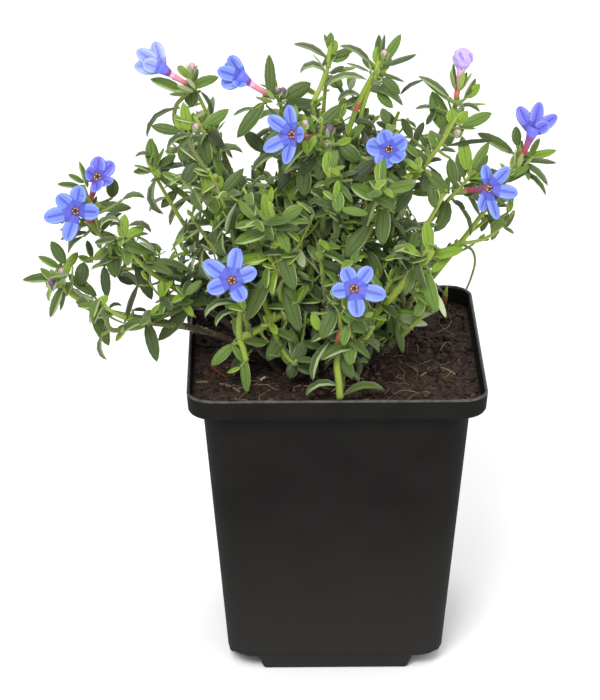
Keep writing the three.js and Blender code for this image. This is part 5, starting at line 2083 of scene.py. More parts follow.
    def tufts(self, stem: Stem, pitch: float, seed: int) -> None:
        """Sets small tufts of young leaves where buds break along a shoot.

        Args:
            stem: The shoot.
            pitch: How far apart the buds are.
            seed: Where their seeded numbers start.
        """
        draw = seeded(seed)
        count = int(stem.curve.length() * 0.8 / pitch)
        turn = draw() * 360
        for k in range(count):
            t = 0.14 + 0.8 * (k + draw() * 0.6) / max(count, 1)
            frame = stem.frame(t)
            turn += GOLDEN_TURN
            out, _ = splayed(frame.axis, frame.radial(turn), 44)
            length = 1.6 + 2.4 * draw()
            line = Curve((frame.point, frame.point + out * length))
            side = out.cross(frame.axis).normalized()
            bud = Stem(line, side, *self.photo.fine_radii, stem.mass, 0)
            if self.plan.in_own_space(line.at(1.0), stem.mass, 0.0):
                self.rosette(bud, seed + 17 * k + 5, 4)

    def _set_seen(self, name: str, seen: SeenLeaf) -> None:
        """Sets a leaf that the photograph shows, between the pixels of its root and tip.

        Args:
            name: The name of its mass.
            seen: The leaf.
        """
        root = self.photo.seat(name, seen.root)
        tip = self.photo.view.at(seen.tip, self.photo.view.depth(root))
        chord = tip - root
        straight = chord.normalized()
        back = self.photo.turned(seen.back)
        back = (back - straight * back.dot(straight)).normalized()
        bend = min(self.bends, key=lambda b: abs(b - seen.bend))
        y, z, _ = self._spine(bend, 1.0)
        droop = math.atan2(-z, y)
        along = straight * math.cos(droop) + back * math.sin(droop)
        upper = back * math.cos(droop) - straight * math.sin(droop)
        length = chord.length / math.hypot(y, z)
        self.set_leaf("leaves_twigs", root, along, upper, length, seen.width, bend, 1, seen.tint)
        samples = self._samples(root, along, upper, length, seen.width, bend)
        self._take(samples)
        self.photo.show(samples, seen.width * 0.3)

    def build(self) -> list[bpy.types.Object]:
        """Sets all leaves and returns the joined pieces."""
        for name, rows in SEEN_LEAVES.items():
            for x, y, tip_x, tip_y, *rest in rows:
                self._set_seen(name, SeenLeaf((x, y), (tip_x, tip_y), *rest))
        for run in self.photo.runs:
            if run.tint in (LIME, RUSSET):
                self.photo.show(run.centres, run.radii[0] * 0.6)
        for plan in self.plan.canes:
            for stem in self.photo.shoots(plan):
                self._take(stem.curve.spaced(0.0, 1.0, 40))
            for bloom in plan.blossoms:
                self._take(Curve((bloom.nearest, bloom.calyx, bloom.throat)).spaced(0.2, 1.0, 14))
                for along, _ in petal_directions(bloom):
                    tip = bloom.throat + along * self.plan.petal
                    self._take(Curve((bloom.throat, tip)).spaced(0.3, 1.0, 5))
        for plan in self.plan.canes:
            for stem in self.photo.shoots(plan):
                for twig in self.photo.twigs(stem):
                    seed = Seeds.TWIG_LEAVES + twig.seed
                    self.spiral(twig, self.twig_rule, "leaves_twigs", seed)
                    self.rosette(twig, Seeds.TWIG_TIPS + twig.seed, 4)
                seed = Seeds.SHOOT_LEAVES + stem.seed
                self.spiral(stem, self.shoot_rule, "leaves_shoots", seed)
                self.rosette(stem, Seeds.SHOOT_TIPS + stem.seed, 6)
                self.tufts(stem, self.tuft_pitch, Seeds.TUFTS + stem.seed * 31)
        for plan in self.plan.canes:
            for twig in self.photo.fine_twigs(plan):
                seed = Seeds.FINE_LEAVES + twig.seed
                self.spiral(twig, self.fine_rule, "leaves_fine", seed, shared=True)
                self.rosette(twig, Seeds.FINE_TIPS + twig.seed, 3)
        finishes = [
            PlantSkin(f"lithodora_leaf_{tint.name}_{part.name}".lower(), colour, 0.5, 0.25)
            for tint, colours in LEAF_COLOURS.items()
            for part, colour in zip(LeafPart, colours)
        ]
        materials = [finish.material() for finish in finishes]
        made = [piece.make_parts(name, materials) for name, piece in self.pieces.items()]
        return [part for parts in made for part in parts]


# Stems and woody parts.


@dataclass
class Stems:
    """The green shoots and twigs, with their collars, and the hairs that stand on them."""

    plan: ShrubPlan
    photo: PhotoCrown
    sides: int = 8
    hair_pitch: float = 0.36
    hair_length: float = 0.75
    fullness: float = 1.25
    sprout: tuple[float, float] = (444, 304)
    lime_from: float = 0.45
    bright_lime_from: float = 0.15
    green_span: float = 0.2
    brown_to: float = 0.16
    shoot_steps: int = 16
    bright: frozenset[str] = frozenset(
        "front east east_far east_front east_upper centre_east front_west west".split()
    )
    dark: frozenset[str] = frozenset(
        "west_low west front_left front_low_left east_low west_back".split()
    )

    def _tints(self, row: CaneRow, steps: int) -> list[int]:
        """Returns the tint of each stretch of a shoot, from its foot to its tip."""
        green_from = self.bright_lime_from if row.name in self.bright else self.lime_from

        def tint(t: float) -> StemTint:
            """Returns the tint at share t of the way."""
            if t > green_from + self.green_span:
                return LIME
            if t > green_from:
                return GREEN
            return BROWN if row.name in self.dark and t < self.brown_to else OLIVE

        return [tint((k + 0.5) / steps).value for k in range(steps)]

    def _hairs(
        self, piece: JoinedPiece, centres: Sequence[Vector], radii: Sequence[float], seed: int
    ) -> None:
        """Sets short pale hairs on a stem.

        Args:
            piece: The piece that the hairs join.
            centres: Points along the stem.
            radii: Its radius at each of them.
            seed: Where their seeded numbers start.
        """
        draw = seeded(seed)
        length = sum((b - a).length for a, b in zip(centres, centres[1:]))
        count = int(length / self.hair_pitch)
        faces = np.array([[1, 0, 3], [2, 1, 3], [0, 2, 3], [0, 1, 2]], np.int32)
        slots = np.zeros(4, int)
        for k in range(count):
            at = (k + draw()) / count * (len(centres) - 1)
            i = min(int(at), len(centres) - 2)
            point = centres[i].lerp(centres[i + 1], at - i)
            axis = (centres[i + 1] - centres[i]).normalized()
            radial = turned_round(axis, side_of(axis), draw() * math.tau)
            tangent = axis.cross(radial)
            root = point + radial * radii[i] * 0.9
            lean = (radial + axis * (draw() - 0.2) * 0.8).normalized()
            tip = root + lean * (self.hair_length * (0.6 + 0.8 * draw()))
            base = [root + tangent * 0.07, root - tangent * 0.07, root + axis * 0.09, tip]
            piece.add(np.array([p[:] for p in base]), faces, slots)

    def _run(self, piece: JoinedPiece, hairs: JoinedPiece, run: Run, seed: int) -> None:
        """Adds a stretch of stem with its hairs."""
        last = len(run.centres) - 1
        start, end = run.radii
        radii = [start + (end - start) * k / last for k in range(last + 1)]
        centres, widths = domed(run.centres, radii)
        slots = [run.tint.value] * (last + 2)
        bent_tube(piece, centres, widths, self.sides, Vector((0.3, 0.2, 0.93)), slots)
        self._hairs(hairs, run.centres, radii, seed)

    def _twig(
        self, piece: JoinedPiece, twig: Stem, steps: int, slot: int
    ) -> tuple[list[Vector], list[float]]:
        """Adds a twig of one colour, and returns its points and radii."""
        centres = twig.curve.spaced(0.0, 1.0, steps)
        radii = [twig.radius(k / steps) for k in range(steps + 1)]
        bent_tube(piece, centres, radii, 6, twig.side, [slot] * steps)
        return centres, radii

    def _sprout(self, piece: JoinedPiece) -> None:
        """Adds the short sprout that the photograph shows on the soil at the right."""
        foot = self.plan.view.on_level(self.sprout, self.plan.soil_top)
        line = (foot - UP, foot + Vector((0.3, 0.2, 3.0)), foot + Vector((0.9, 0.4, 6.4)))
        slots = (StemTint.RUSSET.value, StemTint.LIME.value)
        bent_tube(piece, line, (0.8, 0.9, 0.2), 8, Vector((1, 0, 0)), slots)

    def build(self) -> list[bpy.types.Object]:
        """Returns the stems and their hairs as two pieces."""
        piece = JoinedPiece()
        hairs = JoinedPiece()
        steps = self.shoot_steps
        for plan in self.plan.canes:
            ends = (plan.stem_start, plan.collar_end)
            radii = (self.plan.cane_fork_radius, 0.9 * self.fullness * self.plan.shoot_radii[0])
            tints = self._tints(plan.row, steps)
            bent_tube(piece, ends, radii, self.sides, plan.shoots[0].side, tints[:1])
            for twig in self.photo.fine_twigs(plan):
                self._twig(piece, twig, 4, StemTint.GREEN.value)
            for stem in self.photo.shoots(plan):
                centres = stem.curve.spaced(0.0, 1.0, steps)
                radii = [stem.radius(k / steps) * self.fullness for k in range(steps + 1)]
                line, widths = domed(centres, radii)
                slots = [*tints, tints[-1], tints[-1]]
                bent_tube(piece, line, widths, self.sides, stem.side, slots)
                self._hairs(hairs, centres, radii, Seeds.SHOOT_HAIRS + stem.seed)
                for twig in self.photo.twigs(stem):
                    tube = self._twig(piece, twig, 6, tints[steps // 2])
                    self._hairs(hairs, *tube, Seeds.TWIG_HAIRS + twig.seed)
        for k, run in enumerate(self.photo.runs):
            self._run(piece, hairs, run, Seeds.RUN_HAIRS + k)
        self._sprout(piece)
        skins = [
            PlantSkin(f"lithodora_stem_{tint.name.lower()}", colour, 0.45, 0.3).material()
            for tint, colour in STEM_COLOURS.items()
        ]
        # Dry colourless hairs: together they give the stems a pale matt fringe.
        hair = PlantSkin("lithodora_hair_pale", "#dfe6c8", 0.6).material()
        return piece.make_parts("stems", skins) + hairs.make_parts("stem_hairs", [hair])


@dataclass
class WoodyBase:
    """The woody crown at soil level and the canes that rise from it, with their bark's relief."""

    plan: ShrubPlan
    foot_depth: float = 1.2
    levels: tuple[float, ...] = (0.0, 0.18, 0.34, 0.5, 0.66, 0.82, 0.94, 1.0)
    radii: tuple[float, ...] = (8.4, 8.0, 7.2, 6.8, 6.6, 6.4, 6.0, 4.6)
    crown_relief: float = 0.7
    cane_relief: float = 0.16
    cane_steps: int = 14

    def _barked(self, points: np.ndarray, depth: float) -> np.ndarray:
        """Returns points moved by the bark's relief, which runs in flakes along the wood."""
        moved = points.copy()
        for i, (x, y, z) in enumerate(points):
            place = Vector((x * 0.9, y * 0.9, z * 0.35))
            moved[i, :2] += depth * noise.noise(place) * np.array([1.0, 0.8])
        return moved

    def _green_from(self, row: CaneRow) -> int:
        """Returns the stretch of a cane from which it is green and not barked."""
        if row.name == "front":
            return 0
        return self.cane_steps if row.name in Stems.dark else 9

    def build(self) -> list[bpy.types.Object]:
        """Returns the crown and the canes as two pieces."""
        crown = JoinedPiece()
        foot = self.plan.soil_top - self.foot_depth
        top = self.plan.soil_top + self.plan.crown_height
        clump = self.plan.clump
        centres = [Vector((clump.x, clump.y, foot + (top - foot) * level)) for level in self.levels]
        bent_tube(crown, centres, self.radii, 40, Vector((1, 0, 0)), [0] * 7)
        crown.points[0] = self._barked(crown.points[0], self.crown_relief)
        canes = JoinedPiece()
        steps = self.cane_steps
        foot_radius = self.plan.cane_foot_radius
        thinning = self.plan.cane_fork_radius - foot_radius
        for plan in self.plan.canes:
            centres = plan.curve.spaced(0.0, self.plan.fork, steps)
            centres[0] = centres[0] - UP * 0.8
            radii = [foot_radius + thinning * k / steps for k in range(steps + 1)]
            radii[0] = foot_radius * 1.25
            slots = [int(k >= self._green_from(plan.row)) for k in range(steps)]
            bent_tube(canes, centres, radii, 12, plan.shoots[0].side, slots)
            canes.points[-1] = self._barked(canes.points[-1], self.cane_relief)
        # Old bark, dry and flaking: matt browns in patches, with its relief along the wood.
        bark = Mottled("lithodora_bark", "#4e3e2c", "#2b2118", 2.4, 0.8, 0.25, (0.75, 0.95))
        # Green cane skin: smoother and lighter than the bark, with a faint gloss.
        green = PlantSkin("lithodora_cane_green", "#7c8f3a", 0.45, 0.3)
        bark_material = bark.material()
        return [
            crown.make("woody_crown_bark", [bark_material]),
            canes.make("canes_bark", [bark_material, green.material()]),
        ]


# Blossoms.


class PetalPart(Enum):
    """The parts of a blossom that differ in colour."""

    BLUE = 0
    EDGE = 1
    VEIN = 2
    HEART = 3


# Thin petal tissue: a velvety blue without gloss, paler at its rim and violet towards the heart.
# Along the midline crease it is darker: painted shade.
PETAL_COLOURS: dict[PetalShade, tuple[str, str, str, str]] = {
    PetalShade.BLUE: ("#667acf", "#7c90dc", "#4e56b4", "#5c3a96"),
    PetalShade.PALE: ("#8a97dc", "#a0ade4", "#747dca", "#7a4fb4"),
    PetalShade.VIOLET: ("#6665cc", "#7e88da", "#524dae", "#66389a"),
}


@dataclass
class Blossoms:
    """The blue blossoms with their tubes, throats and calyces, and the buds."""

    plan: ShrubPlan
    foliage: Foliage
    photo: PhotoCrown
    petal_length: float = 7.8
    petal_width: float = 4.8
    stalk: float = 2.4
    tube_radii: tuple[tuple[float, float], ...] = (
        (0, 0.55), (0.3, 0.7), (0.42, 0.9), (0.6, 0.8), (0.8, 0.95), (0.93, 1.3), (1, 1.55)
    )

    def _petal(self) -> Pattern:
        """Returns one petal of unit length and width, a rounded tongue with a sunken midline."""
        outline = (
            (0, 0.6), (0.2, 0.84), (0.42, 1.04), (0.62, 1.08), (0.8, 0.92), (0.93, 0.52), (1, 0)
        )
        rows = (0.0, 0.08, 0.2, 0.34, 0.48, 0.62, 0.75, 0.86, 0.94, 0.985, 1.0)

        def place(u: float, v: float, thick: float) -> Vector:
            """Returns a point of the petal, across at u from -1 to 1."""
            half = 0.5 * blend_stations(outline, v) if 0.0 < v < 1.0 else 0.0
            crease = -0.055 * math.exp(-((u / 0.2) ** 2)) * min(1.0, 3 * v) * (1 - 0.4 * v)
            cup = -0.1 * v**2.2 - 0.05 * abs(u) ** 2 * math.sin(math.pi * v)
            ripple = 0.022 * math.sin(8 * v + 4 * u) * abs(u)
            rim = max(0.0, 1 - abs(u) ** 4) * min(1.0, 8 * v, 8 * (1 - v))
            return Vector((u * half, v, crease + cup + ripple + thick * rim))

        def part(u: float, v: float) -> int:
            """Returns the part of an upper face."""
            out = abs(2 * u - 1)
            if v < 0.1:
                return PetalPart.HEART.value
            # The violet base is the petal's own colour; the darker stripe along the midline is
            # painted shade in its crease.
            if out < 0.17 and v < 0.7 or v < 0.26:
                return PetalPart.VEIN.value
            return PetalPart.EDGE.value if out > 0.6 or v > 0.84 else PetalPart.BLUE.value

        def top(u: float, v: float) -> Vector:
            """Returns a point of the upper face."""
            return place(2 * u - 1, rows[round(v * 10)], 0.012)

        def under(u: float, v: float) -> Vector:
            """Returns a point of the under face."""
            return place(2 * u - 1, rows[round(v * 10)], -0.012)

        upper = grid_shape(12, 10, top, part)
        lower = grid_shape(12, 10, under, lambda u, v: PetalPart.EDGE.value, flip=True)
        return Pattern.of(welded([upper, lower], 1e-4))

    def _lowered(self, bloom: BlossomPlan, shift: Vector) -> BlossomPlan:
        """Returns a blossom that hangs lower, on the best place of the shoots at the back."""
        throat, calyx = bloom.throat + shift, bloom.calyx + shift
        backs = [plan for plan in self.plan.canes if plan.row.name in HIDDEN]
        shoots = [stem for plan in backs for stem in self.photo.shoots(plan)]
        candidates = [p for stem in shoots for p in stem.curve.spaced(0.2, 0.97, 24)]
        nearest = min(candidates, key=lambda p: (p - calyx).length)
        loose = nearest - calyx
        pull = loose * max(0.0, 1 - self.stalk / loose.length)
        return replace(bloom, throat=throat + pull, calyx=calyx + pull, nearest=nearest)

    def _tube(self, piece: JoinedPiece, bloom: BlossomPlan, pale: bool, mouth: bool) -> None:
        """Adds a blossom's stalk and tube, green at the stalk and red or pink towards the mouth."""
        route = Curve((bloom.nearest, bloom.calyx, bloom.throat))
        steps = 16
        centres = route.spaced(0.0, 1.0, steps)
        radii = []
        slots = []
        for k in range(steps + 1):
            t = k / steps
            radii.append(blend_stations(self.tube_radii, t))
            colour = 1 if t < 0.52 else 2 if t < 0.8 else 3
            slots.append(0 if t < 0.36 else colour + 7 * pale)
        bent_tube(piece, centres, radii, 12, side_of(bloom.out), slots[:-1])
        if mouth:
            view = self.photo.view
            out = (view.back + view.up * 0.3 + view.right * 0.15).normalized()
            bloom = replace(bloom, out=out, spread=Openness.OPEN, throat=bloom.throat + out * 0.5)
        self._throat(piece, bloom)

    def _throat(self, piece: JoinedPiece, bloom: BlossomPlan) -> None:
        """Adds the ring and the dark mouth in the middle of a blossom; the dark mouth is painted
        shade inside the tube.
        """
        if bloom.spread is Openness.CLOSED:
            return
        side = side_of(bloom.out)
        if bloom.spread is Openness.HALF:
            cup = [bloom.throat + bloom.out * d for d in (-2.6, -1.2, 0.4, 1.6)]
            bent_tube(piece, cup, (1.1, 1.45, 1.9, 2.1), 12, side, [3, 7, 7])
            return
        ring = [bloom.throat + bloom.out * d for d in (-0.3, 0.25, 0.5)]
        bent_tube(piece, ring, (1.7, 1.5, 1.0), 12, side, [4, 4])
        # A dark plug stands in the mouth: painted shade inside the tube.
        mouth = [ring[0] + bloom.out * 0.4, ring[2] + bloom.out * 0.12]
        bent_tube(piece, mouth, (0.85, 0.6), 10, side, [5])
        for k in range(5):
            out = turned_round(bloom.out, side, math.tau * k / 5)
            at = bloom.throat + out * 0.8 + bloom.out * 0.35
            bent_tube(piece, [at, at + bloom.out * 0.55], (0.26, 0.2), 6, side, [6])

    def _calyx(
        self, bloom_at: Vector, out: Vector, length: float, radius: float, width: float, seed: int
    ) -> None:
        """Sets the five narrow hairy sepals round a blossom's foot or a bud.

        Args:
            bloom_at: The middle of the ring that they stand on.
            out: The direction of the blossom or bud.
            length: Their length.
            radius: The radius of the ring.
            width: Their width.
            seed: Where their seeded numbers start.
        """
        draw = seeded(seed)
        for k in range(5):
            radial = turned_round(out, side_of(out), math.tau * (k + 0.3 * draw()) / 5)
            along, upper = splayed(out, radial, 14 + 10 * draw())
            root = bloom_at + radial * radius
            long = length * (0.85 + 0.3 * draw())
            tint = FRESH if draw() < 0.6 else YOUNG
            self.foliage.set_leaf("leaves_tips", root, along, upper, long, width, 8.0, 1, tint)

    def _bud(
        self,
        piece: JoinedPiece,
        at: Vector,
        out: Vector,
        size: float,
        slot: int,
        plump: float = 0.36,
        streak: int | None = None,
        sides: int = 15,
    ) -> None:
        """Adds a bud: a rolled tip with five pleats.

        Args:
            piece: The piece that the bud joins.
            at: Where the bud starts.
            out: The direction in which it points.
            size: Its length.
            slot: The material slot of its colour.
            plump: Its greatest radius as a share of its length.
            streak: The material slot of the darker folds, if it has them.
            sides: The number of its sides.
        """
        stations = ((0, 0.42), (0.25, 0.8), (0.5, 1.0), (0.75, 0.9), (0.92, 0.5), (1, 0.08))
        steps = 10 if sides < 20 else 24
        start = len(piece.points)
        centres = [at + out * size * k / steps for k in range(steps + 1)]
        radii = [size * plump * blend_stations(stations, k / steps) for k in range(steps + 1)]
        bent_tube(piece, centres, radii, sides, side_of(out), [slot] * steps)
        points = piece.points[start]
        middle = np.array(at[:]) + np.array(out[:]) * size / 2
        axis = np.array(out[:])
        side = np.array(side_of(out)[:])
        flat = points - middle
        flat -= np.outer(flat @ axis, axis)
        angle = np.arctan2(flat @ np.cross(axis, side), flat @ side)
        height = (points - middle) @ axis / size
        pleat = np.cos(5 * (angle + 1.6 * height))
        points -= flat * ((0.14 if streak is None else 0.06) * pleat)[:, None]
        if streak is not None:
            faces = piece.faces[start] - (piece.count - len(points))
            folded = (pleat * (1 - 3 * np.abs(height - 0.08)))[faces].mean(axis=1)
            piece.slots[start] = np.where(folded > 0.38, streak, slot)

    def build(self) -> list[bpy.types.Object]:
        """Returns the petals, tubes and buds as pieces, and sets their sepals among the leaves."""
        petal = self._petal()
        petals, tubes, buds = JoinedPiece(), JoinedPiece(), JoinedPiece()
        for plan in self.plan.canes:
            for order, bloom in enumerate(plan.blossoms):
                seen = SEEN_BLOSSOMS.get((plan.row.name, order))
                if seen and seen.tips:
                    depth = self.photo.view.depth(bloom.throat)
                    bloom = replace(bloom, throat=self.photo.view.at(seen.middle, depth))
                if plan.row.name in LOWERED:
                    bloom = self._lowered(bloom, LOWERED[plan.row.name])
                if seen:
                    bloom = replace(bloom, calyx=bloom.throat - bloom.out * seen.tube)
                pale, mouth = (seen.pale_tube, seen.shows_mouth) if seen else (False, False)
                self._tube(tubes, bloom, pale, mouth)
                number = plan.index * 10 + order
                closed = bloom.spread is Openness.CLOSED
                foot = bloom.calyx - bloom.out * 0.6
                length, width = (7.4, 2.0) if closed else (5.8, 1.6)
                self._calyx(foot, bloom.out, length, 0.9, width, Seeds.CALYCES + number)
                if closed:
                    self._bud(buds, bloom.throat - bloom.out * 0.8, bloom.out, 6.8, 0, 0.46, 3, 40)
                    continue
                self._petals(petals, petal, bloom, seen, seeded(Seeds.PETALS + number))
        self._tip_buds(buds, tubes)
        blue = [
            PlantSkin(
                f"lithodora_petal_{tone.name}_{part.name}".lower(), hue, 0.42, 0.15, grain=0.4
            )
            for tone, hues in PETAL_COLOURS.items()
            for part, hue in zip(PetalPart, hues)
        ]
        # Hairy tube and throat tissue: half matt, from red at its foot to violet at the mouth. The
        # dark throat colour is painted shade.
        tubes_skins = {
            "stalk": "#7d8f3c",
            "tube_foot": "#a84a3c",
            "tube_red": "#9c3f56",
            "tube_mouth": "#84488a",
            "throat_ring": "#744832",
            "throat_painted_shade": "#2c1a14",
            "anther": "#c9a878",
            "cup": "#6468d8",
            "tube_pale_foot": "#d07060",
            "tube_pale_pink": "#da8aa0",
            "tube_pale_mouth": "#d8a8cc",
        }
        # Rolled buds in downy skin: softly lit pinks and violets, with darker folds.
        bud_colours = ("#b49fe2", "#6c4f72", "#c2a0a6", "#8a74ca")
        tube_skins = [PlantSkin(f"lithodora_{n}", c, 0.45, 0.2) for n, c in tubes_skins.items()]
        bud_skins = [
            PlantSkin(f"lithodora_bud_{i}", hue, 0.5, 0.3) for i, hue in enumerate(bud_colours)
        ]
        return [
            petals.make("petals", [finish.material() for finish in blue]),
            tubes.make("blossom_tubes", [finish.material() for finish in tube_skins]),
            buds.make("buds", [finish.material() for finish in bud_skins]),
        ]

    def _petals(
        self,
        piece: JoinedPiece,
        petal: Pattern,
        bloom: BlossomPlan,
        seen: SeenBlossom | None,
        draw: Callable[[], float],
    ) -> None:
        """Sets a blossom's petals, to their tips in the photograph where it shows them.

        Args:
            piece: The piece that they join.
            petal: The petal's pattern.
            bloom: The blossom's plan.
            seen: What the photograph shows of it.
            draw: Gives seeded numbers.
        """
        gap = 0.9 if bloom.spread is Openness.OPEN else 0.3
        shade = seen.shade if seen else PetalShade.BLUE
        slots = np.arange(4) + shade.value * 4
        if seen:
            view, depth = self.photo.view, self.photo.view.depth(bloom.throat)
            spans = [view.at(tip[:2], depth - tip[2]) - bloom.throat for tip in seen.tips]
            petal_width = seen.width
        else:
            petal_width = self.petal_width
            spans = []
            for along, upper in petal_directions(bloom):
                tilt = math.radians((draw() - 0.5) * 14)
                forward = along * math.cos(tilt) + upper * math.sin(tilt)
                spans.append(forward * (self.petal_length * (0.94 + 0.12 * draw()) + gap))
        front = self.photo.view.back
        for span in spans:
            forward = span.normalized()
            look = bloom.out
            if seen and seen.faces_camera:
                look = front + bloom.out * 0.25 + side_of(front) * (draw() - 0.5) * 1.2
            face = (look - forward * look.dot(forward)).normalized()
            length = span.length - gap
            width = petal_width * (0.94 + 0.12 * draw())
            axes = (forward.cross(face) * width, forward * length, face * length)
            piece.stamp(petal, axes, bloom.throat + forward * gap, slots)
            if seen:
                line = Curve((bloom.throat, bloom.throat + span)).spaced(0.0, 1.0, 6)
                self.photo.show([p + front * 2 for p in line], 1.5)

    def _small_bud(
        self, buds: JoinedPiece, foot: Vector, out: Vector, size: float, colour: int, seed: int
    ) -> None:
        """Adds a small bud with its sepals.

        Args:
            buds: The piece that the bud joins.
            foot: Where it stands.
            out: The direction in which it points.
            size: Its length.
            colour: Which of the bud colours it has.
            seed: Where its seeded numbers start.
        """
        self._bud(buds, foot, out, size, colour)
        self._calyx(foot - out * 0.5, out, size * 1.05, 0.55, 1.3, seed)

    def _tip_buds(self, buds: JoinedPiece, stalks: JoinedPiece) -> None:
        """Sets the small buds that the photograph shows, and a few like them at the back."""
        upright = (self.photo.view.up * 0.9 + self.photo.view.back * 0.4).normalized()
        count = 0
        for name, seen_buds in SEEN_BUDS.items():
            for seen in seen_buds:
                x, y = seen.pixel
                foot = self.photo.seat(name, (x, y + seen.size * 1.6))
                seed = Seeds.BUD_CALYCES + count
                self._small_bud(buds, foot, upright, seen.size, seen.colour, seed)
                count += 1
        backward = ("back_west", "back", "back_west_low", "heart")
        for plan in self.plan.canes:
            if plan.row.name not in backward:
                continue
            stem = self.photo.shoots(plan)[1]
            draw = seeded(Seeds.BACK_BUDS + stem.seed)
            frame = stem.frame(1.0)
            out = (frame.axis + frame.radial(draw() * 360) * 0.6 + UP * 0.2).normalized()
            foot = frame.point + out * 2.6
            bent_tube(stalks, [frame.point, foot], (0.4, 0.45), 6, side_of(out), [0])
            seed = Seeds.BACK_BUD_CALYCES + stem.seed
            self._small_bud(buds, foot, out, 3.2, 1 + stem.seed % 2, seed)


# The pot and its soil.


@dataclass
class NurseryPot:
    """A thin square nursery pot with a stepped-out rim, on a plus-shaped foot."""

    height: float = 97.0
    rim_half: float = 45.0
    rim_corner: float = 8.0
    rim_band: float = 6.2
    rim_taper: float = 0.4
    shoulder: float = 1.2
    neck_half: float = 40.5
    neck_corner: float = 11.5
    base_half: float = 33.0
    base_corner: float = 8.0
    wall: float = 0.9
    floor: float = 1.4
    foot_half: float = 22.2
    foot_half_above: float = 24.2
    foot_rise: float = 4.2
    drain_radius: float = 2.2
    drain_at: float = 27.6
    corner_steps: int = 10
    edge_steps: int = 14

    def outline(self, half: float, corner: float, z: float) -> list[Vector]:
        """Returns points round a rounded square, anticlockwise seen from above."""
        points = []
        centre = half - corner
        for quarter in range(4):
            turn = Matrix.Rotation(quarter * math.pi / 2, 3, "Z")
            for k in range(self.edge_steps):
                share = k / self.edge_steps
                points.append(turn @ Vector((half, -centre + 2 * centre * share, z)))
            for k in range(self.corner_steps):
                angle = math.pi / 2 * k / self.corner_steps
                x = centre + corner * math.cos(angle)
                y = centre + corner * math.sin(angle)
                points.append(turn @ Vector((x, y, z)))
        return points

    def skin(
        self, shape: bmesh.types.BMesh, rings: Sequence[Sequence[Vector]], parts: Sequence[int]
    ) -> list[list[bmesh.types.BMVert]]:
        """Extrudes a ring of edges through a row of rings.

        Args:
            shape: The bmesh to build in.
            rings: The points of each ring.
            parts: The material slot of each band between two rings.

        Returns:
            The vertices of each ring.
        """
        verts = [shape.verts.new(p) for p in rings[0]]
        edges = [shape.edges.new((a, b)) for a, b in zip(verts, verts[1:] + verts[:1])]
        made = [verts]
        for ring, part in zip(rings[1:], parts):
            grown = bmesh.ops.extrude_edge_only(shape, edges=edges)["geom"]
            faces = [g for g in grown if isinstance(g, bmesh.types.BMFace)]
            for face in faces:
                face.material_index = part
                face.smooth = True
            edges = []
            following = []
            for old in verts:
                new = (e for e in old.link_edges if any(f in faces for f in e.link_faces))
                ends = (edge.other_vert(old) for edge in new)
                following.append(next(end for end in ends if end not in verts))
            for vert, place in zip(following, ring):
                vert.co = place
            for a, b in zip(following, following[1:] + following[:1]):
                edges.append(shape.edges.get((a, b)))
            verts = following
            made.append(verts)
        return made

    def _ragged(self, ring: list[Vector], depth: float) -> list[Vector]:
        """Returns a ring nicked a little, as the thin rim of a used pot is."""
        nicks = [(p, noise.noise(p * 0.22), noise.noise(p * 0.9)) for p in ring]
        return [p + UP * depth * wide + UP * depth * 0.6 * fine for p, wide, fine in nicks]

    def _body(self) -> bmesh.types.BMesh:
        """Returns the wall, from the underside out over the rim and down inside to the floor."""
        neck = self.height - self.rim_band - self.shoulder
        slope = (self.neck_half - self.base_half) / neck

        def half(z: float) -> float:
            """Returns half the body's width at a height."""
            return self.base_half + slope * z

        def corner(z: float) -> float:
            """Returns the body's corner radius at a height."""
            return self.base_corner + (self.neck_corner - self.base_corner) * z / neck

        rise, w = self.foot_rise, self.wall
        band = self.height - self.rim_band
        stations = [
            (half(rise) - 1.6, corner(rise) - 0.9, rise),
            (half(rise) - 0.5, corner(rise) - 0.3, rise + 0.12),
            (half(rise + 0.8), corner(rise + 0.8), rise + 0.8),
        ]
        stations += [(half(z), corner(z), z) for z in np.linspace(rise + 2.5, neck - 2.2, 12)]
        outer_half = self.rim_half - self.rim_taper
        stations += [
            (half(neck - 0.6), corner(neck), neck - 0.6),
            (half(neck) + 0.25, corner(neck), neck - 0.1),
            (outer_half - 1.3, self.rim_corner + 0.6, band - 0.75),
            (outer_half - 0.35, self.rim_corner, band - 0.35),
            (outer_half, self.rim_corner, band + 0.35),
            (outer_half + 0.12, self.rim_corner, band + 2.0),
            (self.rim_half - 0.08, self.rim_corner, self.height - 1.4),
            (self.rim_half, self.rim_corner, self.height - 0.7),
            (self.rim_half - 0.1, self.rim_corner, self.height - 0.28),
            (self.rim_half - 0.4, self.rim_corner - 0.3, self.height - 0.05),
            (self.rim_half - 0.75, self.rim_corner - 0.6, self.height - 0.2),
            (self.rim_half - w - 0.05, self.rim_corner - w, self.height - 0.7),
            (outer_half - w, self.rim_corner - w, band + 1.2),
            (outer_half - w - 0.5, self.rim_corner - w, band + 0.3),
            (half(neck) - w + 0.4, corner(neck) - w, neck + 0.85),
            (half(neck) - w, corner(neck) - w, neck + 0.2),
            (half(60.0) - w, corner(60.0) - w, 60.0),
            (half(rise + self.floor) - w, corner(rise) - w, rise + self.floor),
        ]
        rings = [self.outline(*station) for station in stations]
        lip = len(stations) - 9
        for k in (lip - 1, lip, lip + 1):
            rings[k] = self._ragged(rings[k], 0.22)
        # The band over the rim's lip takes the grey finish: a painted highlight.
        parts = [1 if lip - 2 <= k <= lip + 1 else 0 for k in range(len(stations) - 1)]
        shape = bmesh.new()
        made = self.skin(shape, rings, parts)
        bmesh.ops.contextual_create(shape, geom=made[0])
        bmesh.ops.contextual_create(shape, geom=made[-1])
        bmesh.ops.recalc_face_normals(shape, faces=shape.faces[:])
        return shape

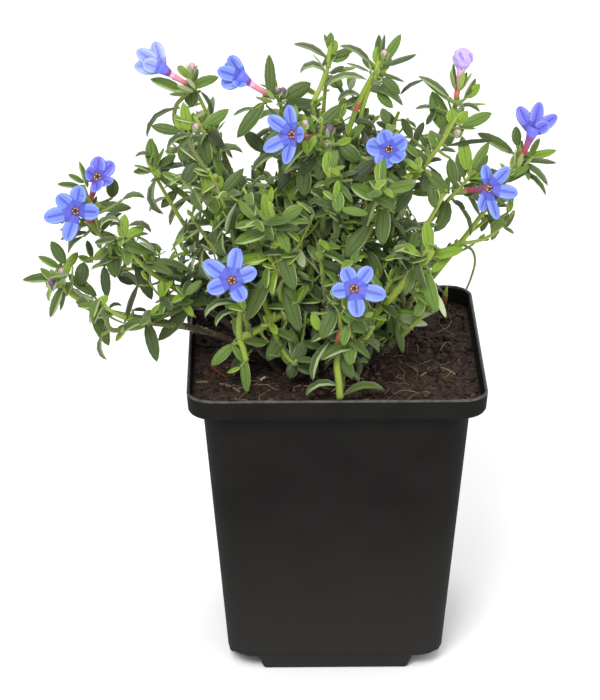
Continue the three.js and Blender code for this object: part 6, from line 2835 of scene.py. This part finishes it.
    def _foot(self) -> bmesh.types.BMesh:
        """Returns the plus-shaped foot that the pot stands on, a little narrower below."""
        slope = (self.neck_half - self.base_half) / (self.height - self.rim_band - self.shoulder)
        shape = bmesh.new()

        def plus(arm: float, end: float, z: float) -> list[Vector]:
            """Returns the corners of a plus with arms of a half width that end at a distance."""
            corners = []
            for quarter in range(4):
                turn = Matrix.Rotation(quarter * math.pi / 2, 3, "Z")
                for x, y in ((end, -arm), (end, arm), (arm, arm)):
                    corners.append(turn @ Vector((x, y, z)))
            return corners

        reach = self.base_half - 0.05
        below = plus(self.foot_half, reach, 0.0)
        above = plus(self.foot_half_above, reach + slope * self.foot_rise, self.foot_rise + 0.6)
        made = self.skin(shape, [below, above], [0])
        bmesh.ops.contextual_create(shape, geom=made[0])
        bmesh.ops.contextual_create(shape, geom=made[1])
        bmesh.ops.recalc_face_normals(shape, faces=shape.faces[:])
        edges = [(edge, *(vert.co.z for vert in edge.verts)) for edge in shape.edges]
        bmesh.ops.bevel(
            shape,
            geom=[e for e, low, high in edges if max(low, high) < 0.1 or abs(low - high) > 1],
            offset=0.9,
            segments=4,
            affect="EDGES",
            profile=0.5,
            material=-1,
        )
        for face in shape.faces:
            face.smooth = False
        return shape

    def build(self) -> bpy.types.Object:
        """Returns the pot as one piece, with its drain holes cut."""
        # Charcoal polypropylene, injection moulded: nearly black and satin, with a fine grain that
        # spreads its highlights. It is greyer towards the foot: a painted reflection of the pale
        # floor.
        plastic = Mottled(
            "polypropylene_charcoal_moulded",
            "#1a1918",
            "#151413",
            14.0,
            0.5,
            0.02,
            (0.6, 0.8),
            specular=0.06,
            foot="#292827",
        )
        # The same plastic, greyer in patches and a little glossier on the rim: the grey is a
        # painted highlight along the rim.
        rim_highlight = Mottled("polypropylene_rim_worn", "#484744", "#201f1e", 1.6, 0.5, 0.03, (0.5, 0.7))
        shape = welded([self._body(), self._foot()], 1e-5)
        pot = piece_of("pot_shell", shape, [plastic.material(), rim_highlight.material()])
        cutters = bmesh.new()
        for x, y in product((-self.drain_at, self.drain_at), repeat=2):
            bmesh.ops.create_cone(
                cutters,
                cap_ends=True,
                segments=24,
                radius1=self.drain_radius,
                radius2=self.drain_radius,
                depth=self.foot_rise * 3,
                matrix=Matrix.Translation((x, y, self.foot_rise)),
            )
        cutter = piece_of("drain_cutter", cutters, [])
        cut = pot.modifiers.new("drain_holes", "BOOLEAN")
        cut.operation = "DIFFERENCE"
        cut.solver = "EXACT"
        cut.object = cutter
        evaluated = pot.evaluated_get(bpy.context.evaluated_depsgraph_get())
        mesh = bpy.data.meshes.new_from_object(evaluated)
        pot.modifiers.clear()
        pot.data = mesh
        bpy.data.objects.remove(cutter)
        # The solver leaves it to chance which way the foot's faces point.
        holed = bmesh.new()
        holed.from_mesh(mesh)
        bmesh.ops.recalc_face_normals(holed, faces=holed.faces[:])
        holed.to_mesh(mesh)
        holed.free()
        return pot


@dataclass
class PottingSoil:
    """Moist dark peat with crumbs and pale fibres on it."""

    pot: NurseryPot
    plan: ShrubPlan
    cells: int = 96
    crumbs: int = 4200
    fibres: int = 130
    inset: float = 0.12

    def height(self, x: float, y: float) -> float:
        """Returns the height of the soil's surface at a place."""
        low = noise.noise(Vector((x * 0.06, y * 0.06, 3.1))) * 1.1
        mid = noise.noise(Vector((x * 0.22, y * 0.22, 8.2))) * 0.75
        fine = noise.noise(Vector((x * 0.7, y * 0.7, 1.7))) * 0.4
        away = math.hypot(x - self.plan.clump.x, y - self.plan.clump.y)
        mound = 1.1 * math.exp(-((away / 16) ** 2))
        edge = min(max((max(abs(x), abs(y)) - 30) / 10, 0.0), 1.0)
        calm = 1 - 0.75 * edge * edge * (3 - 2 * edge)
        return self.plan.soil_top + (low + mid) * calm + fine * 0.6 + mound

    def _inside(self, x: float, y: float, half: float, corner: float) -> tuple[float, float]:
        """Returns a place drawn in to a rounded square."""
        centre = half - corner
        dx, dy = max(abs(x) - centre, 0.0), max(abs(y) - centre, 0.0)
        away = math.hypot(dx, dy)
        if away > corner:
            dx, dy = dx * corner / away, dy * corner / away
        x = math.copysign(min(abs(x), centre) + dx, x)
        y = math.copysign(min(abs(y), centre) + dy, y)
        return x, y

    def _rounded(self, u: float, v: float, half: float, corner: float) -> tuple[float, float]:
        """Returns the place in a rounded square of a place in a square from -1 to 1."""
        x, y = u * half, v * half
        centre = half - corner
        dx, dy = abs(x) - centre, abs(y) - centre
        if dx > 0 and dy > 0:
            scale = max(dx, dy) / math.hypot(dx, dy)
            x = math.copysign(centre + dx * scale, x)
            y = math.copysign(centre + dy * scale, y)
        return x, y

    def _bed(self) -> bmesh.types.BMesh:
        """Returns the soil's body: a rough top, and sides that follow the pot's inside."""
        half = self.pot.rim_half - self.pot.rim_taper - self.pot.wall - self.inset
        corner = self.pot.rim_corner - self.pot.wall
        rim = ((half, corner, 0.0), (half - 0.3, corner, 90.75))
        levels = (*rim, (39.1, 10.3, 90.0), (32.2, 7.0, 6.2))
        shape = bmesh.new()
        bmesh.ops.create_grid(shape, x_segments=self.cells, y_segments=self.cells, size=1.0)
        edges = [e for e in shape.edges if e.is_boundary]
        for _ in levels[1:]:
            grown = bmesh.ops.extrude_edge_only(shape, edges=edges)["geom"]
            edges = [g for g in grown if isinstance(g, bmesh.types.BMEdge)]
            verts = list({v for e in edges for v in e.verts})
            bmesh.ops.translate(shape, vec=(0.0, 0.0, -1.0), verts=verts)
        bmesh.ops.contextual_create(shape, geom=edges)
        for vert in shape.verts:
            half, corner, z = levels[round(-vert.co.z)]
            x, y = self._rounded(vert.co.x, vert.co.y, half, corner)
            vert.co = Vector((x, y, z or self.height(x, y)))
        for face in shape.faces:
            face.smooth = True
        bmesh.ops.recalc_face_normals(shape, faces=shape.faces[:])
        return shape

    def _crumb(self, seed: int) -> Pattern:
        """Returns a rough crumb of unit radius."""
        shape = bmesh.new()
        bmesh.ops.create_uvsphere(shape, u_segments=7, v_segments=4, radius=1.0)
        for vert in shape.verts:
            vert.co *= 1 + 0.75 * noise.noise(vert.co * 1.6 + Vector((seed * 7.1, 0, 0)))
        return Pattern.of(shape)

    def _crumbs(self) -> JoinedPiece:
        """Returns the loose crumbs that lie on the soil, mostly small."""
        patterns = [self._crumb(k) for k in range(6)]
        piece = JoinedPiece()
        draw = seeded(Seeds.CRUMBS)
        reach = self.pot.rim_half - 2.2
        for k in range(self.crumbs):
            x, y = (draw() * 2 - 1) * reach, (draw() * 2 - 1) * reach
            x, y = self._inside(x, y, reach, 6.0)
            size = 0.2 + 0.95 * draw() ** 4.0
            turn = Matrix.Rotation(draw() * math.tau, 3, "Z")
            turn = turn @ Matrix.Rotation(draw() * math.tau, 3, "X")
            long, flat = size * (0.7 + 0.9 * draw()), size * (0.35 + 0.4 * draw())
            shape = turn @ Matrix.Diagonal((long, size, flat))
            axes = [Vector(column) for column in shape.col]
            at = Vector((x, y, self.height(x, y) + size * 0.15))
            piece.stamp(patterns[k % 6], axes, at, np.array([int(draw() * 2.999)]))
        return piece

    def _fibres(self) -> JoinedPiece:
        """Returns the thin root and straw fibres that lie curled on the soil."""
        piece = JoinedPiece()
        draw = seeded(Seeds.FIBRES)
        reach = self.pot.rim_half - 4.5
        for k in range(self.fibres):
            x, y = (draw() * 2 - 1) * reach, (draw() * 2 - 1) * reach
            heading = draw() * math.tau
            curl = (draw() - 0.5) * 0.5
            length = 3 + 15 * draw() ** 2
            steps = 10
            centres = []
            for i in range(steps + 1):
                x, y = self._inside(x, y, reach, 6.0)
                lift = 0.35 + 0.5 * math.sin(math.pi * i / steps) * draw()
                centres.append(Vector((x, y, self.height(x, y) + lift)))
                heading += curl + (draw() - 0.5) * 0.35
                x += math.cos(heading) * length / steps
                y += math.sin(heading) * length / steps
            wide = 0.09 + 0.1 * draw()
            radii = [wide * (1 - 0.6 * i / steps) for i in range(steps + 1)]
            bent_tube(piece, centres, radii, 5, UP, [int(draw() * 3.999)] * steps)
        for line, radius, colour in SEEN_FIBRES:
            ground = [self.plan.view.on_level(pixel, self.plan.soil_top) for pixel in line]
            lying = [Vector((p.x, p.y, self.height(p.x, p.y) + 0.4)) for p in ground]
            centres = smooth_line(lying, 4)
            bent_tube(piece, centres, [radius] * len(centres), 5, UP, [colour] * (len(centres) - 1))
        return piece

    def build(self) -> list[bpy.types.Object]:
        """Returns the soil's bed, crumbs and fibres as pieces."""
        # Moist peat: matt dark browns, coarse-grained, with hardly a highlight.
        tones = ("#4a3a33", "#1c1411")
        peat = Mottled("peat_moist_dark", *tones, 1.6, 0.6, 0.5, (0.75, 1.0), specular=0.15)
        bed = piece_of("soil_bed", self._bed(), [peat.material()])
        # Crumbs of the same peat, drier on top, and dry root and straw fibres, pale and matt.
        crumb_colours = ("#3c2f28", "#1e1613", "#665144")
        fibre_colours = ("#6e5a44", "#47362b", "#8d7a5c", "#6e3a22", "#c9bfa6")
        grit = (1.5, 0.5, 0.3, (0.8, 1.0))
        crumbs = [
            Mottled(f"peat_crumb_{i}", colour, "#1e1512", *grit, specular=0.25).material()
            for i, colour in enumerate(crumb_colours)
        ]
        fibres = [
            PlantSkin(f"dry_fibre_{i}", colour, 0.7).material()
            for i, colour in enumerate(fibre_colours)
        ]
        return [
            bed,
            self._crumbs().make("soil_crumbs", crumbs),
            self._fibres().make("soil_fibres", fibres),
        ]


# The studio.


@dataclass
class Studio:
    """A plain pale floor under soft light, and the camera."""

    view: PhotoView = field(default_factory=PhotoView)
    floor_size: float = 12.0
    world_strength: float = 0.82

    def _floor(self) -> None:
        """Makes the floor, which isn't part of the object."""
        shape = bmesh.new()
        bmesh.ops.create_grid(shape, x_segments=1, y_segments=1, size=self.floor_size / 2)
        mesh = bpy.data.meshes.new("studio_floor")
        shape.to_mesh(mesh)
        shape.free()
        floor = link("studio_floor", mesh)
        # Matt white paper: it takes soft shadows and shows no reflection.
        mesh.materials.append(PlantSkin("studio_floor_white", "#f7f7f7", 0.9).material())

    def _light(self, name: str, at: Vector, target: Vector, size: float, power: float) -> None:
        """Makes a soft square lamp that faces a target. Places and size are in metres."""
        data = bpy.data.lights.new(name, "AREA")
        data.shape = "SQUARE"
        data.size = size
        data.energy = power
        lamp = bpy.data.objects.new(name, data)
        lamp.location = at
        lamp.rotation_mode = "QUATERNION"
        lamp.rotation_quaternion = (target - at).to_track_quat("-Z", "Y")
        bpy.context.scene.collection.objects.link(lamp)

    def _camera(self) -> None:
        """Makes the camera that the photograph's view asks for."""
        data = bpy.data.cameras.new("camera")
        data.lens = CAMERA_LENS
        data.sensor_width = CAMERA_SENSOR
        data.clip_start, data.clip_end = 0.05, 50.0
        camera = bpy.data.objects.new("camera", data)
        camera.location = self.view.eye * MM
        camera.rotation_mode = "QUATERNION"
        camera.rotation_quaternion = (-self.view.back).to_track_quat("-Z", "Y")
        bpy.context.scene.collection.objects.link(camera)
        bpy.context.scene.camera = camera

    def build(self) -> None:
        """Makes the floor, the lights and the camera."""
        self._floor()
        world = bpy.data.worlds.new("studio")
        world.use_nodes = True
        world.node_tree.nodes["Background"].inputs["Color"].default_value = (1, 1, 1, 1)
        world.node_tree.nodes["Background"].inputs["Strength"].default_value = self.world_strength
        bpy.context.scene.world = world
        bpy.context.scene.view_settings.view_transform = "Standard"
        plant = Vector((0.0, 0.0, 0.11))
        self._light("key", Vector((-0.28, -0.85, 1.0)), plant, 0.5, 12.0)
        self._light("fill", Vector((0.75, -0.6, 0.5)), plant, 0.8, 3.0)
        self._light("backdrop", Vector((0.0, 1.5, 1.5)), Vector((0.0, 1.3, 0.0)), 1.6, 14.0)
        self._camera()


def dress(objects: Sequence[bpy.types.Object], nodes: Sequence[str]) -> None:
    """Makes pieces ride on the body, and hides the CAD nodes that they replace.

    Args:
        objects: The pieces.
        nodes: The CAD nodes that the pieces replace, which are hidden.
    """
    for made in objects:
        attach(made, "root")
        LOG.info("piece %s: %d faces", made.name, len(made.data.polygons))
    if nodes:
        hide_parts(*nodes)


def main() -> None:
    """Builds every piece around the frame."""
    logging.basicConfig(level=logging.INFO, format="%(message)s")
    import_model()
    Studio().build()
    plan = ShrubPlan()
    pot = NurseryPot()
    dress([pot.build()], ["pot"])
    dress(PottingSoil(pot, plan).build(), ["soil"])
    crown, canes = WoodyBase(plan).build()
    dress([crown], ["woody_crown"])
    dress([canes], [f"cane_{row.name}" for row in CANES])
    photo = PhotoCrown(plan)
    foliage = Foliage(plan, photo)
    blossoms = Blossoms(plan, foliage, photo).build()
    leaves = foliage.build()
    stems = Stems(plan, photo).build()
    dress(leaves, [f"foliage_{row.name}" for row in CANES])
    dress(blossoms, [])
    dress(stems, [])
    LOG.info("%d leaves", foliage.leaf_count)


if __name__ == "__main__":
    main()
